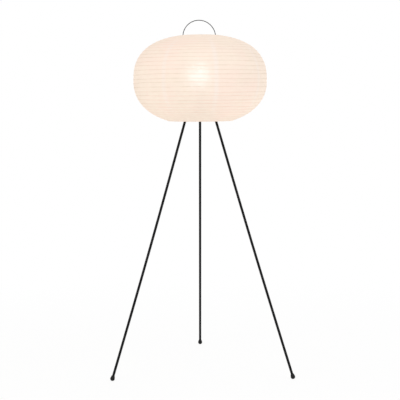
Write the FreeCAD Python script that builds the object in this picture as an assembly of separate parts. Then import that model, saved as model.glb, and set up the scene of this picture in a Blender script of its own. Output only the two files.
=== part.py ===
import FreeCAD, Part
import math
import os

from FreeCAD import Vector

# Paper lantern floor lamp: a ribbed paper shade hangs by its top ring on a wire
# stretcher, over a bulb on a round plate, and three slender legs screw in below.
# Millimetres. The origin is on the lamp's axis at the floor, +Z up, front is -Y.

# --- paper shade ---------------------------------------------------------------
shade_radius = 266.0            # outside of the paper at its widest
shade_widest_height = 1164.5    # floor to the widest circle
shade_rise = 181.3              # widest circle up to where the curve would close
shade_drop = 176.2              # widest circle down to where it would close
upper_fullness = 2.50           # 2 is an ellipse, more is squarer
lower_fullness = 2.25
top_mouth_radius = 76.0         # edge of the paper at the upper mouth
bottom_mouth_radius = 128.0     # edge of the paper at the lower mouth
paper_thickness = 0.4
rib_count = 30                  # bamboo hoops between the two wire rings
rib_height = 2.4                # flat of the split strip, along the axis
rib_depth = 1.6                 # from that flat to the strip's ridge
ring_wire = 3.0                 # wire of the two mouth rings
skin_gap = 0.3                  # paper to the hoops and rings inside it
curve_samples = 3000            # steps used to measure along the curve

# --- wire stretcher with its carrying handle -------------------------------------
stretcher_wire = 3.0
handle_clearance = 8.0          # side wires to the inside of the top ring
arch_sink = 2.8                 # middle of the arch below the bends that lead into it
wire_bend = 3.0                 # centre-line radius of the small bends
shoulder_reach = 2.5            # shoulder past the top ring's wire
ring_seat = 0.1                 # shoulder to the ring that rests on it

# --- hub plate -------------------------------------------------------------------
plate_underside_height = 1070.0
plate_thickness = 2.5
plate_margin = 8.0              # side wires to the plate's edge
plate_flange = 9.0              # depth of the turned-down rim
plate_bend = 4.0                # outside radius of the rim's bend
vent_radius = 7.0
vent_circle_radius = 36.0
vent_count = 6
wire_hole_clearance = 0.15
wire_nut_height = 2.6
wire_nut_flats = 6.5
wire_end_below_nut = 1.5

# --- legs --------------------------------------------------------------------------
foot_circle_radius = 407.0      # axis to the middle of each ball foot
leg_radius = 5.0
leg_wall = 1.0
bush_rim_clearance = 9.1        # a bush to the inside of the plate's rim
leg_azimuths = {"front_left": 210.0, "front_right": 330.0, "back": 90.0}
bush_radius = 9.0
bush_length = 26.0
stud_in_bush = 16.0
stud_in_leg = 18.0
stud_clearance = 0.05
stud_hole_spare = 2.0

# --- ball feet ---------------------------------------------------------------------
foot_radius = 9.0
foot_flat = 0.5                 # height ground off where the ball stands
foot_neck_length = 11.5         # ball centre to the end of the neck
foot_neck_radius = 6.4
leg_in_foot = 15.0              # leg inside the foot, from the neck's end

# --- threaded nipple and its fittings -------------------------------------------------
nipple_radius = 5.0
nipple_bore_radius = 3.6
nipple_below_plate = 18.0
nipple_in_base = 11.0
thread_clearance = 0.05
nipple_nut_flats = 15.0
nipple_nut_height = 4.0
nipple_washer_radius = 9.0
nipple_washer_thickness = 1.0
cord_bush_flange_radius = 6.5
cord_bush_flange = 2.0
cord_bush_depth = 8.0
cord_hole_radius = 2.8

# --- lampholder --------------------------------------------------------------------
holder_radius = 20.0
holder_wall = 1.8
holder_height = 58.0
holder_base_height = 20.0
holder_boss_radius = 8.0
holder_lip = 3.0                # shell over the base's rim
insulator_thickness = 7.0
wiring_hole_radius = 1.6
wiring_circle_radius = 8.4
insulator_seat_depth = 31.0     # mouth of the shell down to the insulator
fit_gap = 0.1                   # between the lampholder's nested pieces
sleeve_wall = 0.5
sleeve_length = 24.0
sleeve_opening = 10.2           # radius of the hole in the sleeve's floor
contact_width = 5.0
contact_strip = 0.6
contact_foot = 2.0              # the tongue's foot past the bulb's tip
contact_gap = 0.3               # tongue to the bulb's tip

# --- bulb -------------------------------------------------------------------------
bulb_radius = 30.0
bulb_length = 106.0             # tip to the top of the glass
bulb_shoulder = 40.0            # hollow curve between neck and globe
glass_wall = 0.9
cap_radius = 13.2
cap_wall = 0.4
cap_length = 24.0
cap_taper = 2.5                 # height over which the cap widens from its bead
cap_socket_clearance = 0.05
cap_in_holder = 25.0            # tip of the bulb below the holder's mouth
neck_gap = 0.15                 # glass neck to the inside of the cap
neck_in_cap = 14.0
tip_radius = 4.6
tip_height = 1.2
bead_height = 3.0
bead_radius = 9.5
bead_step = 0.6                 # bead past the tip's edge
stem_radius = 3.2
stem_height = 62.0              # tip of the bulb to the top of the stem
stem_foot = 2.0
stem_flare = 14.0               # height over which the stem narrows
filament_wire = 0.8
filament_radius = 2.4           # half the width of the hairpin
filament_rise = 14.0

# --- values that follow ---------------------------------------------------------------
AXIS = Vector(0, 0, 1)
ORIGIN = Vector(0, 0, 0)

foot_centre_height = foot_radius - foot_flat
rim_height = plate_underside_height - plate_flange
plate_top_height = plate_underside_height + plate_thickness
holder_mouth_height = plate_top_height + holder_height
insulator_top_height = holder_mouth_height - insulator_seat_depth
bulb_tip_height = holder_mouth_height - cap_in_holder
bulb_centre_height = bulb_tip_height + bulb_length - bulb_radius


def export(name, shape):
    """Write one piece, or one group of like pieces, under its own name."""
    shape.exportStep("parts/" + name + ".step")


def polar(radius, azimuth, height=0.0):
    angle = math.radians(azimuth)
    return Vector(radius * math.cos(angle), radius * math.sin(angle), height)


def at_front(x, z):
    """Point in the plane of the handle."""
    return Vector(x, 0, z)


def line(start, end):
    return Part.LineSegment(start, end).toShape()


def turn(centre, radius, start, end):
    """Arc in the XZ plane between two angles, measured from +X towards +Z."""
    points = []
    for degrees in (start, 0.5 * (start + end), end):
        angle = math.radians(degrees)
        points.append(centre + at_front(radius * math.cos(angle), radius * math.sin(angle)))
    return Part.Arc(*points).toShape()


def spin(edges):
    """Solid of revolution about the lamp's axis from a closed profile."""
    return Part.Face(Part.Wire(edges)).revolve(ORIGIN, AXIS, 360)


def spin_polygon(points):
    corners = [at_front(x, z) for x, z in points]
    return Part.Face(Part.makePolygon(corners + corners[:1])).revolve(ORIGIN, AXIS, 360)


def rod(radius, low, high):
    return Part.makeCylinder(radius, high - low, Vector(0, 0, low))


def tube(outer, inner, low, high):
    return rod(outer, low, high).cut(rod(inner, low - 1, high + 1))


def pipe(edges, radius):
    """Round wire along a path that sets off straight up or down."""
    start = edges[0].Vertexes[0].Point
    section = Part.Wire(Part.makeCircle(radius, start, AXIS))
    return Part.Wire(edges).makePipeShell([section], True, False)


def hexagon(flats, low, high, bore, centre=ORIGIN):
    corner = flats / math.sqrt(3)
    corners = [centre + polar(corner, 60.0 * side, low) for side in range(7)]
    block = Part.Face(Part.makePolygon(corners)).extrude(AXIS * (high - low))
    hole = Part.makeCylinder(bore, high - low + 2, centre + AXIS * (low - 1))
    return block.cut(hole)


# --- shade -------------------------------------------------------------------------
def lantern_curve(angle):
    """Outside of the paper: 0 at the widest circle, positive upwards."""
    upper = angle >= 0
    reach = shade_rise if upper else -shade_drop
    power = 2.0 / (upper_fullness if upper else lower_fullness)
    radius = shade_radius * math.cos(angle) ** power
    return at_front(radius, shade_widest_height + reach * math.sin(abs(angle)) ** power)


def mouth_angle(radius, fullness):
    return math.acos((radius / shade_radius) ** (fullness / 2.0))


def seam_points():
    """Points of the curve at even steps of length, one at each hoop and mouth."""
    top = mouth_angle(top_mouth_radius, upper_fullness)
    bottom = -mouth_angle(bottom_mouth_radius, lower_fullness)
    step = (bottom - top) / curve_samples
    samples = [lantern_curve(top + step * i) for i in range(curve_samples + 1)]
    travelled = [0.0]
    for before, after in zip(samples, samples[1:]):
        travelled.append(travelled[-1] + before.distanceToPoint(after))
    points = []
    index = 0
    for bay in range(rib_count + 2):
        wanted = travelled[-1] * bay / (rib_count + 1)
        while travelled[index] < wanted - 1e-9 and index < curve_samples:
            index += 1
        points.append(samples[index])
    return points


def outward(points, index):
    """Unit vector off the paper at a point, and the cosine of half its turn."""
    last = len(points) - 1
    before = points[max(index - 1, 0)]
    after = points[min(index + 1, last)]
    along = (after - before).normalize()
    bay = (points[min(index + 1, last)] - points[min(index, last - 1)]).normalize()
    return at_front(-along.z, along.x), max(along.dot(bay), 0.5)


def paper_skin(points):
    inner = []
    for index, point in enumerate(points):
        normal, cosine = outward(points, index)
        inner.append(point - normal * (paper_thickness / cosine))
    loop = points + inner[::-1]
    return Part.Face(Part.makePolygon(loop + loop[:1])).revolve(ORIGIN, AXIS, 360)


def bamboo_hoop(points, index):
    """Split strip: flat against the paper, planed to a ridge inside."""
    normal, _ = outward(points, index)
    along = at_front(-normal.z, normal.x)
    flat = points[index] - normal * (paper_thickness + skin_gap)
    ridge = flat - normal * rib_depth
    half = along * (0.5 * rib_height)
    corners = [flat - half, flat + half, ridge]
    return Part.Face(Part.makePolygon(corners + corners[:1])).revolve(ORIGIN, AXIS, 360)


def ring_centre(points, index):
    """Middle of a mouth ring's wire, just inside the edge of the paper."""
    normal, _ = outward(points, index)
    return points[index] - normal * (paper_thickness + skin_gap + 0.5 * ring_wire)


def mouth_ring(centre):
    return Part.makeTorus(centre.x, 0.5 * ring_wire, Vector(0, 0, centre.z))


# --- stretcher ---------------------------------------------------------------------
def shoulder_height(ring):
    """Middle of the shoulders that the top ring rests on."""
    return ring.z - 0.5 * (ring_wire + stretcher_wire) - ring_seat


def side_path(side, ring, foot_height, meet):
    """Edges of one side wire, from its lower end up to where it meets the arch."""
    shoulder = shoulder_height(ring)
    low = shoulder - 2 * wire_bend
    tip = ring.x + 0.5 * ring_wire + shoulder_reach
    root = side_wire_offset + wire_bend
    edges = [
        line(at_front(side_wire_offset, foot_height), at_front(side_wire_offset, low - wire_bend)),
        turn(at_front(root, low - wire_bend), wire_bend, 180, 90),
        line(at_front(root, low), at_front(tip, low)),
        turn(at_front(tip, low + wire_bend), wire_bend, -90, 90),
        line(at_front(tip, shoulder), at_front(root, shoulder)),
        turn(at_front(root, shoulder + wire_bend), wire_bend, -90, meet - 180),
    ]
    if side > 0:
        return edges
    mirrored = [edge.mirror(ORIGIN, Vector(1, 0, 0)) for edge in edges]
    return mirrored[::-1]


def stretcher(ring):
    """One wire: side, shoulder, carrying arch, shoulder, side."""
    foot_height = wire_nut_low_height - wire_end_below_nut
    root = side_wire_offset + wire_bend
    meet = math.degrees(math.atan2(arch_sink, root))
    arch_radius = math.hypot(arch_sink, root) - wire_bend
    centre = at_front(0, shoulder_height(ring) + wire_bend - arch_sink)
    arch = turn(centre, arch_radius, meet, 180 - meet)
    edges = side_path(1, ring, foot_height, meet) + [arch] + side_path(-1, ring, foot_height, meet)
    return pipe(edges, 0.5 * stretcher_wire)


def stretcher_nuts():
    nuts = []
    for side in (-1, 1):
        centre = at_front(side * side_wire_offset, 0)
        for low in (wire_nut_low_height, plate_top_height):
            bore = 0.5 * stretcher_wire + thread_clearance
            nuts.append(hexagon(wire_nut_flats, low, low + wire_nut_height, bore, centre))
    return Part.makeCompound(nuts)


# --- hub plate and legs --------------------------------------------------------------
def hub_plate():
    """Pressed round plate with a turned-down rim, vents and wire holes."""
    edge = plate_radius
    top = plate_top_height
    rim = rim_height
    inner_bend = plate_bend - plate_thickness
    corner = at_front(edge - plate_bend, top - plate_bend)
    profile = [
        line(at_front(0, top), at_front(edge - plate_bend, top)),
        turn(corner, plate_bend, 90, 0),
        line(at_front(edge, top - plate_bend), at_front(edge, rim)),
        line(at_front(edge, rim), at_front(edge - plate_thickness, rim)),
        line(at_front(edge - plate_thickness, rim), at_front(edge - plate_thickness, top - plate_bend)),
        turn(corner, inner_bend, 0, 90),
        line(at_front(edge - plate_bend, top - plate_thickness), at_front(0, top - plate_thickness)),
        line(at_front(0, top - plate_thickness), at_front(0, top)),
    ]
    plate = spin(profile)
    low = plate_underside_height - 1
    high = plate_top_height + 1
    holes = [rod(nipple_radius + thread_clearance, low, high)]
    for side in (-1, 1):
        radius = 0.5 * stretcher_wire + wire_hole_clearance
        centre = at_front(side * side_wire_offset, low)
        holes.append(Part.makeCylinder(radius, high - low, centre))
    for vent in range(vent_count):
        azimuth = 360.0 * vent / vent_count
        centre = polar(vent_circle_radius, azimuth, low)
        holes.append(Part.makeCylinder(vent_radius, high - low, centre))
    return plate.cut(holes)


def down_leg(azimuth):
    """Unit vector along a leg, from the hub to the floor."""
    return (polar(leg_slope, azimuth) - AXIS).normalize()


def on_leg(azimuth, height):
    """Point of a leg's centre line at a height."""
    return polar(leg_rim_radius + leg_slope * (rim_height - height), azimuth, height)


def leg_top(azimuth):
    return on_leg(azimuth, plate_underside_height) + down_leg(azimuth) * bush_length


def leg_bush(azimuth):
    """Threaded bush welded under the plate, cut level where it meets it."""
    way = down_leg(azimuth)
    start = on_leg(azimuth, plate_underside_height)
    spare = bush_radius * leg_slope + 1
    body = Part.makeCylinder(bush_radius, bush_length + spare, start - way * spare, way)
    above = Part.makeBox(8 * bush_radius, 8 * bush_radius, 4 * bush_radius)
    above.translate(start - Vector(4 * bush_radius, 4 * bush_radius, 0))
    depth = stud_in_bush + stud_hole_spare
    start_of_hole = leg_top(azimuth) - way * depth
    hole = Part.makeCylinder(stud_radius + stud_clearance, depth, start_of_hole, way)
    return body.cut([above, hole])


def leg_stud(azimuth):
    way = down_leg(azimuth)
    start = leg_top(azimuth) - way * stud_in_bush
    return Part.makeCylinder(stud_radius, stud_in_bush + stud_in_leg, start, way)


def foot_centre(azimuth):
    return polar(foot_circle_radius, azimuth, foot_centre_height)


def leg(azimuth):
    way = down_leg(azimuth)
    top = leg_top(azimuth)
    end = foot_centre(azimuth) - way * (foot_neck_length - leg_in_foot)
    length = top.distanceToPoint(end)
    outer = Part.makeCylinder(leg_radius, length, top, way)
    return outer.cut(Part.makeCylinder(leg_radius - leg_wall, length + 2, top - way, way))


def foot(azimuth):
    """Rubber ball on a tapered neck, flat where it stands, bored for the leg."""
    lean = math.atan2(foot_neck_length, foot_neck_radius)
    reach = math.hypot(foot_neck_length, foot_neck_radius)
    touch = math.degrees(lean - math.acos(foot_radius / reach))
    middle = at_front(0, 0)
    angle = math.radians(touch)
    tangent = at_front(foot_radius * math.cos(angle), foot_radius * math.sin(angle))
    profile = [
        turn(middle, foot_radius, -90, touch),
        line(tangent, at_front(foot_neck_radius, foot_neck_length)),
        line(at_front(foot_neck_radius, foot_neck_length), at_front(0, foot_neck_length)),
        line(at_front(0, foot_neck_length), at_front(0, -foot_radius)),
    ]
    body = spin(profile)
    body = body.cut(rod(leg_radius, foot_neck_length - leg_in_foot, foot_neck_length + 1))
    turned = FreeCAD.Rotation(AXIS, down_leg(azimuth) * -1)
    body.Placement = FreeCAD.Placement(foot_centre(azimuth), turned)
    floor = Part.makeBox(4 * foot_radius, 4 * foot_radius, 2 * foot_radius)
    corner = Vector(2 * foot_radius, 2 * foot_radius, 2 * foot_radius + foot_centre_height)
    floor.translate(foot_centre(azimuth) - corner)
    return body.cut(floor)


# --- nipple --------------------------------------------------------------------------
def nipple():
    low = plate_underside_height - nipple_below_plate
    return tube(nipple_radius, nipple_bore_radius, low, plate_top_height + nipple_in_base)


def nipple_washer():
    low = plate_underside_height - nipple_washer_thickness
    inner = nipple_radius + thread_clearance
    return tube(nipple_washer_radius, inner, low, plate_underside_height)


def nipple_nut():
    high = plate_underside_height - nipple_washer_thickness
    bore = nipple_radius + thread_clearance
    return hexagon(nipple_nut_flats, high - nipple_nut_height, high, bore)


def cord_bush():
    """Flanged sleeve that guards the cord where it enters the nipple."""
    end = plate_underside_height - nipple_below_plate
    sleeve = rod(nipple_bore_radius - thread_clearance, end, end + cord_bush_depth)
    flange = rod(cord_bush_flange_radius, end - cord_bush_flange, end)
    flange = flange.makeFillet(0.45 * cord_bush_flange, [flange.Edges[2]])
    hole = rod(cord_hole_radius, end - cord_bush_flange - 1, end + cord_bush_depth + 1)
    return sleeve.fuse(flange).cut(hole)


# --- lampholder ------------------------------------------------------------------------
def holder_base():
    """Domed cap with an inner boss that screws onto the nipple."""
    low = plate_top_height
    high = low + holder_base_height
    dome = holder_radius - holder_boss_radius - holder_wall
    centre = at_front(holder_radius - dome, low + dome)
    inner = dome - holder_wall
    bore = nipple_radius + thread_clearance
    boss_top = low + nipple_in_base
    spigot = holder_radius - holder_wall - fit_gap
    throat = spigot - holder_wall
    profile = [
        line(at_front(bore, low), at_front(centre.x, low)),
        turn(centre, dome, -90, 0),
        line(at_front(holder_radius, low + dome), at_front(holder_radius, high - holder_lip)),
        line(at_front(holder_radius, high - holder_lip), at_front(spigot, high - holder_lip)),
        line(at_front(spigot, high - holder_lip), at_front(spigot, high)),
        line(at_front(spigot, high), at_front(throat, high)),
        line(at_front(throat, high), at_front(throat, high - holder_lip)),
        line(at_front(throat, high - holder_lip), at_front(centre.x + inner, low + dome)),
        turn(centre, inner, 0, -90),
        line(at_front(centre.x, low + holder_wall), at_front(holder_boss_radius, low + holder_wall)),
        line(at_front(holder_boss_radius, low + holder_wall), at_front(holder_boss_radius, boss_top)),
        line(at_front(holder_boss_radius, boss_top), at_front(bore, boss_top)),
        line(at_front(bore, boss_top), at_front(bore, low)),
    ]
    return spin(profile)


def holder_shell():
    """Outer shell with a rolled mouth and a ledge that holds the insulator."""
    low = plate_top_height + holder_base_height - holder_lip
    mouth = holder_mouth_height
    inner = holder_radius - holder_wall
    roll = 0.5 * holder_wall
    ledge = insulator_top_height + fit_gap
    ledge_reach = inner - holder_wall
    profile = [
        line(at_front(inner, low), at_front(holder_radius, low)),
        line(at_front(holder_radius, low), at_front(holder_radius, mouth - roll)),
        turn(at_front(holder_radius - roll, mouth - roll), roll, 0, 180),
        line(at_front(inner, mouth - roll), at_front(inner, ledge + holder_wall)),
        line(at_front(inner, ledge + holder_wall), at_front(ledge_reach, ledge + holder_wall)),
        line(at_front(ledge_reach, ledge + holder_wall), at_front(ledge_reach, ledge)),
        line(at_front(ledge_reach, ledge), at_front(inner, ledge)),
        line(at_front(inner, ledge), at_front(inner, low)),
    ]
    return spin(profile)


def holder_insulator():
    """Ceramic disc that carries the screw sleeve, with two wiring holes."""
    low = insulator_top_height - insulator_thickness
    radius = holder_radius - holder_wall - fit_gap
    disc = rod(radius, low, insulator_top_height)
    holes = []
    for azimuth in (90, 270):
        centre = polar(wiring_circle_radius, azimuth, low - 1)
        holes.append(Part.makeCylinder(wiring_hole_radius, insulator_thickness + 2, centre))
    return disc.cut(holes)


def holder_sleeve():
    """Brass screw sleeve that takes the cap of the bulb."""
    inner = cap_radius + cap_socket_clearance
    outer = inner + sleeve_wall
    low = insulator_top_height
    high = low + sleeve_length
    floor = low + sleeve_wall
    corners = [(sleeve_opening, low), (outer, low), (outer, high), (inner, high)]
    return spin_polygon(corners + [(inner, floor), (sleeve_opening, floor)])


def centre_contact():
    """Sprung brass tongue under the tip of the bulb."""
    low = insulator_top_height
    high = bulb_tip_height - contact_gap
    reach = tip_radius
    foot = -tip_radius - contact_foot
    points = [(foot, low), (contact_strip, low), (reach + contact_strip, high), (-reach, high)]
    points += [(-reach, high - contact_strip), (reach - contact_strip, high - contact_strip)]
    points += [(0, low + contact_strip), (foot, low + contact_strip)]
    corners = [Vector(x, -0.5 * contact_width, z) for x, z in points]
    return Part.Face(Part.makePolygon(corners + corners[:1])).extrude(Vector(0, contact_width, 0))


# --- bulb ---------------------------------------------------------------------------
def globe(inset):
    """Solid glass form, drawn in by a wall thickness: neck, hollow curve, ball."""
    neck = cap_radius - cap_wall - neck_gap
    rise = (bulb_radius + bulb_shoulder) ** 2 - (neck + bulb_shoulder) ** 2
    neck_top = bulb_centre_height - math.sqrt(rise)
    low = bulb_tip_height + tip_height + bead_height + cap_length - neck_in_cap
    hollow_centre = at_front(neck + bulb_shoulder, neck_top)
    ball_centre = at_front(0, bulb_centre_height)
    meet = math.degrees(math.atan2(neck_top - bulb_centre_height, neck + bulb_shoulder))
    top = bulb_centre_height + bulb_radius - inset
    profile = [
        line(at_front(0, low - inset), at_front(neck - inset, low - inset)),
        line(at_front(neck - inset, low - inset), at_front(neck - inset, neck_top)),
        turn(hollow_centre, bulb_shoulder + inset, 180, 180 + meet),
        turn(ball_centre, bulb_radius - inset, meet, 90),
        line(at_front(0, top), at_front(0, low - inset)),
    ]
    return spin(profile)


def bulb_glass():
    return globe(0.0).cut(globe(glass_wall))


def bulb_cap():
    low = bulb_tip_height + tip_height + bead_height
    high = low + cap_length
    wide = low + cap_taper
    inner = cap_radius - cap_wall
    hole = bead_radius - cap_wall
    corners = [(hole, low), (bead_radius, low), (cap_radius, wide), (cap_radius, high)]
    return spin_polygon(corners + [(inner, high), (inner, wide + cap_wall), (hole, low + cap_wall)])


def bulb_bead():
    """Black glass between the cap and the tip."""
    low = bulb_tip_height + tip_height
    high = low + bead_height
    return spin_polygon([(0, low), (tip_radius + bead_step, low), (bead_radius, high), (0, high)])


def bulb_tip():
    return rod(tip_radius, bulb_tip_height, bulb_tip_height + tip_height)


def bulb_stem():
    """Glass stem that seals the neck and carries the filament."""
    low = bulb_tip_height + tip_height + bead_height + cap_length - neck_in_cap
    neck = cap_radius - cap_wall - neck_gap - glass_wall
    top = bulb_tip_height + stem_height
    corners = [(0, low), (neck, low), (neck, low + stem_foot), (stem_radius, low + stem_flare)]
    return spin_polygon(corners + [(stem_radius, top), (0, top)])


def bulb_filament():
    """Hairpin filament standing on the stem."""
    low = bulb_tip_height + stem_height
    high = low + filament_rise
    edges = [
        line(at_front(filament_radius, low), at_front(filament_radius, high)),
        turn(at_front(0, high), filament_radius, 0, 180),
        line(at_front(-filament_radius, high), at_front(-filament_radius, low)),
    ]
    return pipe(edges, 0.5 * filament_wire)


# --- the lamp --------------------------------------------------------------------------
points = seam_points()
top_ring = ring_centre(points, 0)
bottom_ring = ring_centre(points, rib_count + 1)
side_wire_offset = top_ring.x - 0.5 * ring_wire - handle_clearance - 0.5 * stretcher_wire
wire_nut_low_height = plate_underside_height - wire_nut_height
plate_radius = side_wire_offset + plate_margin
leg_rim_radius = plate_radius - plate_thickness - bush_rim_clearance - bush_radius
leg_slope = (foot_circle_radius - leg_rim_radius) / (rim_height - foot_centre_height)
stud_radius = leg_radius - leg_wall - stud_clearance

os.makedirs("parts", exist_ok=True)

export("paper_skin", paper_skin(points))
export("shade_top_ring", mouth_ring(top_ring))
export("shade_bottom_ring", mouth_ring(bottom_ring))
for number in range(1, rib_count + 1):
    export("bamboo_rib_%02d" % number, bamboo_hoop(points, number))

export("stretcher_wire", stretcher(top_ring))
export("stretcher_nuts", stretcher_nuts())
export("hub_plate", hub_plate())
export("leg_bushes", Part.makeCompound([leg_bush(a) for a in leg_azimuths.values()]))
export("leg_studs", Part.makeCompound([leg_stud(a) for a in leg_azimuths.values()]))
for place, azimuth in leg_azimuths.items():
    export("leg_" + place, leg(azimuth))
    export("foot_" + place, foot(azimuth))

export("cord_nipple", nipple())
export("nipple_washer", nipple_washer())
export("nipple_nut", nipple_nut())
export("cord_bush", cord_bush())

export("holder_base", holder_base())
export("holder_shell", holder_shell())
export("holder_insulator", holder_insulator())
export("holder_sleeve", holder_sleeve())
export("holder_centre_contact", centre_contact())

export("bulb_glass", bulb_glass())
export("bulb_cap", bulb_cap())
export("bulb_bead", bulb_bead())
export("bulb_tip", bulb_tip())
export("bulb_stem", bulb_stem())
export("bulb_filament", bulb_filament())
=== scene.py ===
"""Paper lantern floor lamp: washi shade on bamboo hoops, wire handle, black tripod."""
import logging
import math
from dataclasses import dataclass
from enum import Enum
from typing import Any, Sequence

import bmesh
import bpy
from mathutils import Matrix, Vector


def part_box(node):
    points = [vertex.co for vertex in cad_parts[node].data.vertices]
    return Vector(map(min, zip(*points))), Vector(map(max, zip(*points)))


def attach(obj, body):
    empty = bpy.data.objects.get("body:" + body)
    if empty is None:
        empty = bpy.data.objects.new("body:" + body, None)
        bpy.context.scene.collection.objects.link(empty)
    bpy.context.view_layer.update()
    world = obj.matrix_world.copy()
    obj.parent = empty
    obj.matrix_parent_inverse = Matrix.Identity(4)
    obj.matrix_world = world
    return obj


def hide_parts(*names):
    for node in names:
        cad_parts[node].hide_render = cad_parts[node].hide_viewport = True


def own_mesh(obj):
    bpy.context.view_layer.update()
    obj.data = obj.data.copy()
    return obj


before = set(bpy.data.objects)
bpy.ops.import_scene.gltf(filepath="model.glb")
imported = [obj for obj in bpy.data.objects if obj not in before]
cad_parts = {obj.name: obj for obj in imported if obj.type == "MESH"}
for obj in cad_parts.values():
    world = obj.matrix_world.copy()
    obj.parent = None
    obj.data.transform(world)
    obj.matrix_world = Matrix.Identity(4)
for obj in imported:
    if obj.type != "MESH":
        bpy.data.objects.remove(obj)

logging.basicConfig(level=logging.INFO, format="%(message)s")
log = logging.getLogger("lamp")

MM = 0.001
TURN = 2.0 * math.pi
WELD = 0.00001                      # points closer than this, in metres, are one
UP = Vector((0.0, 0.0, 1.0))
Profile = list[tuple[float, float]]
Colour = tuple[float, float, float, float]

LEGS = {"front_left": 210.0, "front_right": 330.0, "back": 90.0}    # degrees from the +X side

NOISE = "ShaderNodeTexNoise"
RANGE = "ShaderNodeMapRange"
MIX = "ShaderNodeMix"
BUMP = "ShaderNodeBump"
JOIN = "ShaderNodeCombineXYZ"
SPLIT = "ShaderNodeSeparateXYZ"
PLACE = "GeometryNodeSetPosition"
FLOAT, INT, STUFF = "NodeSocketFloat", "NodeSocketInt", "NodeSocketMaterial"


def linear(code: str) -> Colour:
    """Turn an sRGB hex colour into the linear values that shaders take.

    Args:
        code: A hash and six hex digits.

    Returns:
        Linear red, green and blue, and an alpha of one.
    """
    parts = [int(code[i:i + 2], 16) / 255.0 for i in (1, 3, 5)]
    red, green, blue = [p / 12.92 if p <= 0.04045 else ((p + 0.055) / 1.055) ** 2.4 for p in parts]
    return (red, green, blue, 1.0)


def cells(size_mm: float) -> float:
    """Scale of a texture whose features measure size_mm, on coordinates in metres."""
    return 1.0 / (size_mm * MM)


def add(tree: bpy.types.NodeTree, kind: str, *values: Any, **settings: Any) -> bpy.types.Node:
    """Add one node with its settings, and fill or link its inputs.

    Args:
        tree: The tree that takes the node.
        kind: The node's type name, or, all in capitals, the operation of a Math node.
        *values: What each open input takes, in order: a value, a socket, a node for its first
            output, None to leave it, or a dict from input name to any of these.
        **settings: The node's own properties, set before its inputs.

    Returns:
        The new node.
    """
    if kind.isupper():
        settings["operation"], kind = kind, "ShaderNodeMath"
    node = tree.nodes.new(kind)
    for name, value in settings.items():
        setattr(node, name, value)
    ready = [socket for socket in node.inputs if socket.enabled]
    pairs: list[tuple[bpy.types.NodeSocket, Any]] = []
    for position, value in enumerate(values):
        if isinstance(value, dict):
            pairs += [(next(s for s in ready if s.name == name), v) for name, v in value.items()]
        else:
            pairs.append((ready[position], value))
    for socket, value in pairs:
        if isinstance(value, bpy.types.Node):
            value = next(output for output in value.outputs if output.enabled)
        if isinstance(value, bpy.types.NodeSocket):
            tree.links.new(value, socket)
        elif value is not None:
            socket.default_value = value
    return node


def put(name: str, data: Any) -> bpy.types.Object:
    """Put a new object into the scene, at the origin.

    Args:
        name: Name of the object.
        data: Its mesh, camera or lamp.

    Returns:
        The object.
    """
    made = bpy.data.objects.new(name, data)
    bpy.context.scene.collection.objects.link(made)
    return made


def empty_tree(owner: Any) -> bpy.types.NodeTree:
    """Give a material or a world a node tree with nothing in it yet.

    Args:
        owner: The material or the world.

    Returns:
        Its tree.
    """
    owner.use_nodes = True
    owner.node_tree.nodes.clear()
    return owner.node_tree


def patches(tree: bpy.types.NodeTree, where: bpy.types.NodeSocket, size_mm: float,
            reach: Sequence[float] = (0.3, 0.7, 0.0, 1.0), **more: float) -> bpy.types.Node:
    """Soft patches, as one noise spread over a range.

    Args:
        tree: The material's node tree.
        where: Coordinates on the piece, in metres.
        size_mm: Size of the patches.
        reach: Lowest and highest noise that count, and the values that they give.
        **more: Further inputs of the noise.

    Returns:
        The node that gives the value.
    """
    noise = add(tree, NOISE, {"Vector": where, "Scale": cells(size_mm), **more})
    return add(tree, RANGE, noise, *reach)


# ---------------------------------------------------------------- finishes
class Coating(Enum):
    """How the black steel was coated, with the size of its grain in millimetres."""

    ENAMEL = 2.4
    POWDER = 0.9


@dataclass(frozen=True)
class Finish:
    """A material that is made once and shared by the pieces that have it."""

    title: str
    slot: str

    def inputs(self, tree: bpy.types.NodeTree, where: bpy.types.NodeSocket) -> dict[str, Any]:
        """Draw the finish's patterns.

        Args:
            tree: The material's node tree.
            where: Coordinates on the piece, in metres.

        Returns:
            What each input of the surface shader takes.
        """
        raise NotImplementedError

    def material(self) -> bpy.types.Material:
        """Give the material, made on first use.

        Returns:
            The material.
        """
        found = bpy.data.materials.get(self.title)
        if found:
            return found
        made = bpy.data.materials.new(self.title)
        tree = empty_tree(made)
        where = add(tree, "ShaderNodeTexCoord").outputs["Object"]
        surface = add(tree, "ShaderNodeBsdfPrincipled", self.inputs(tree, where))
        add(tree, "ShaderNodeOutputMaterial", surface)
        return made


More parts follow.
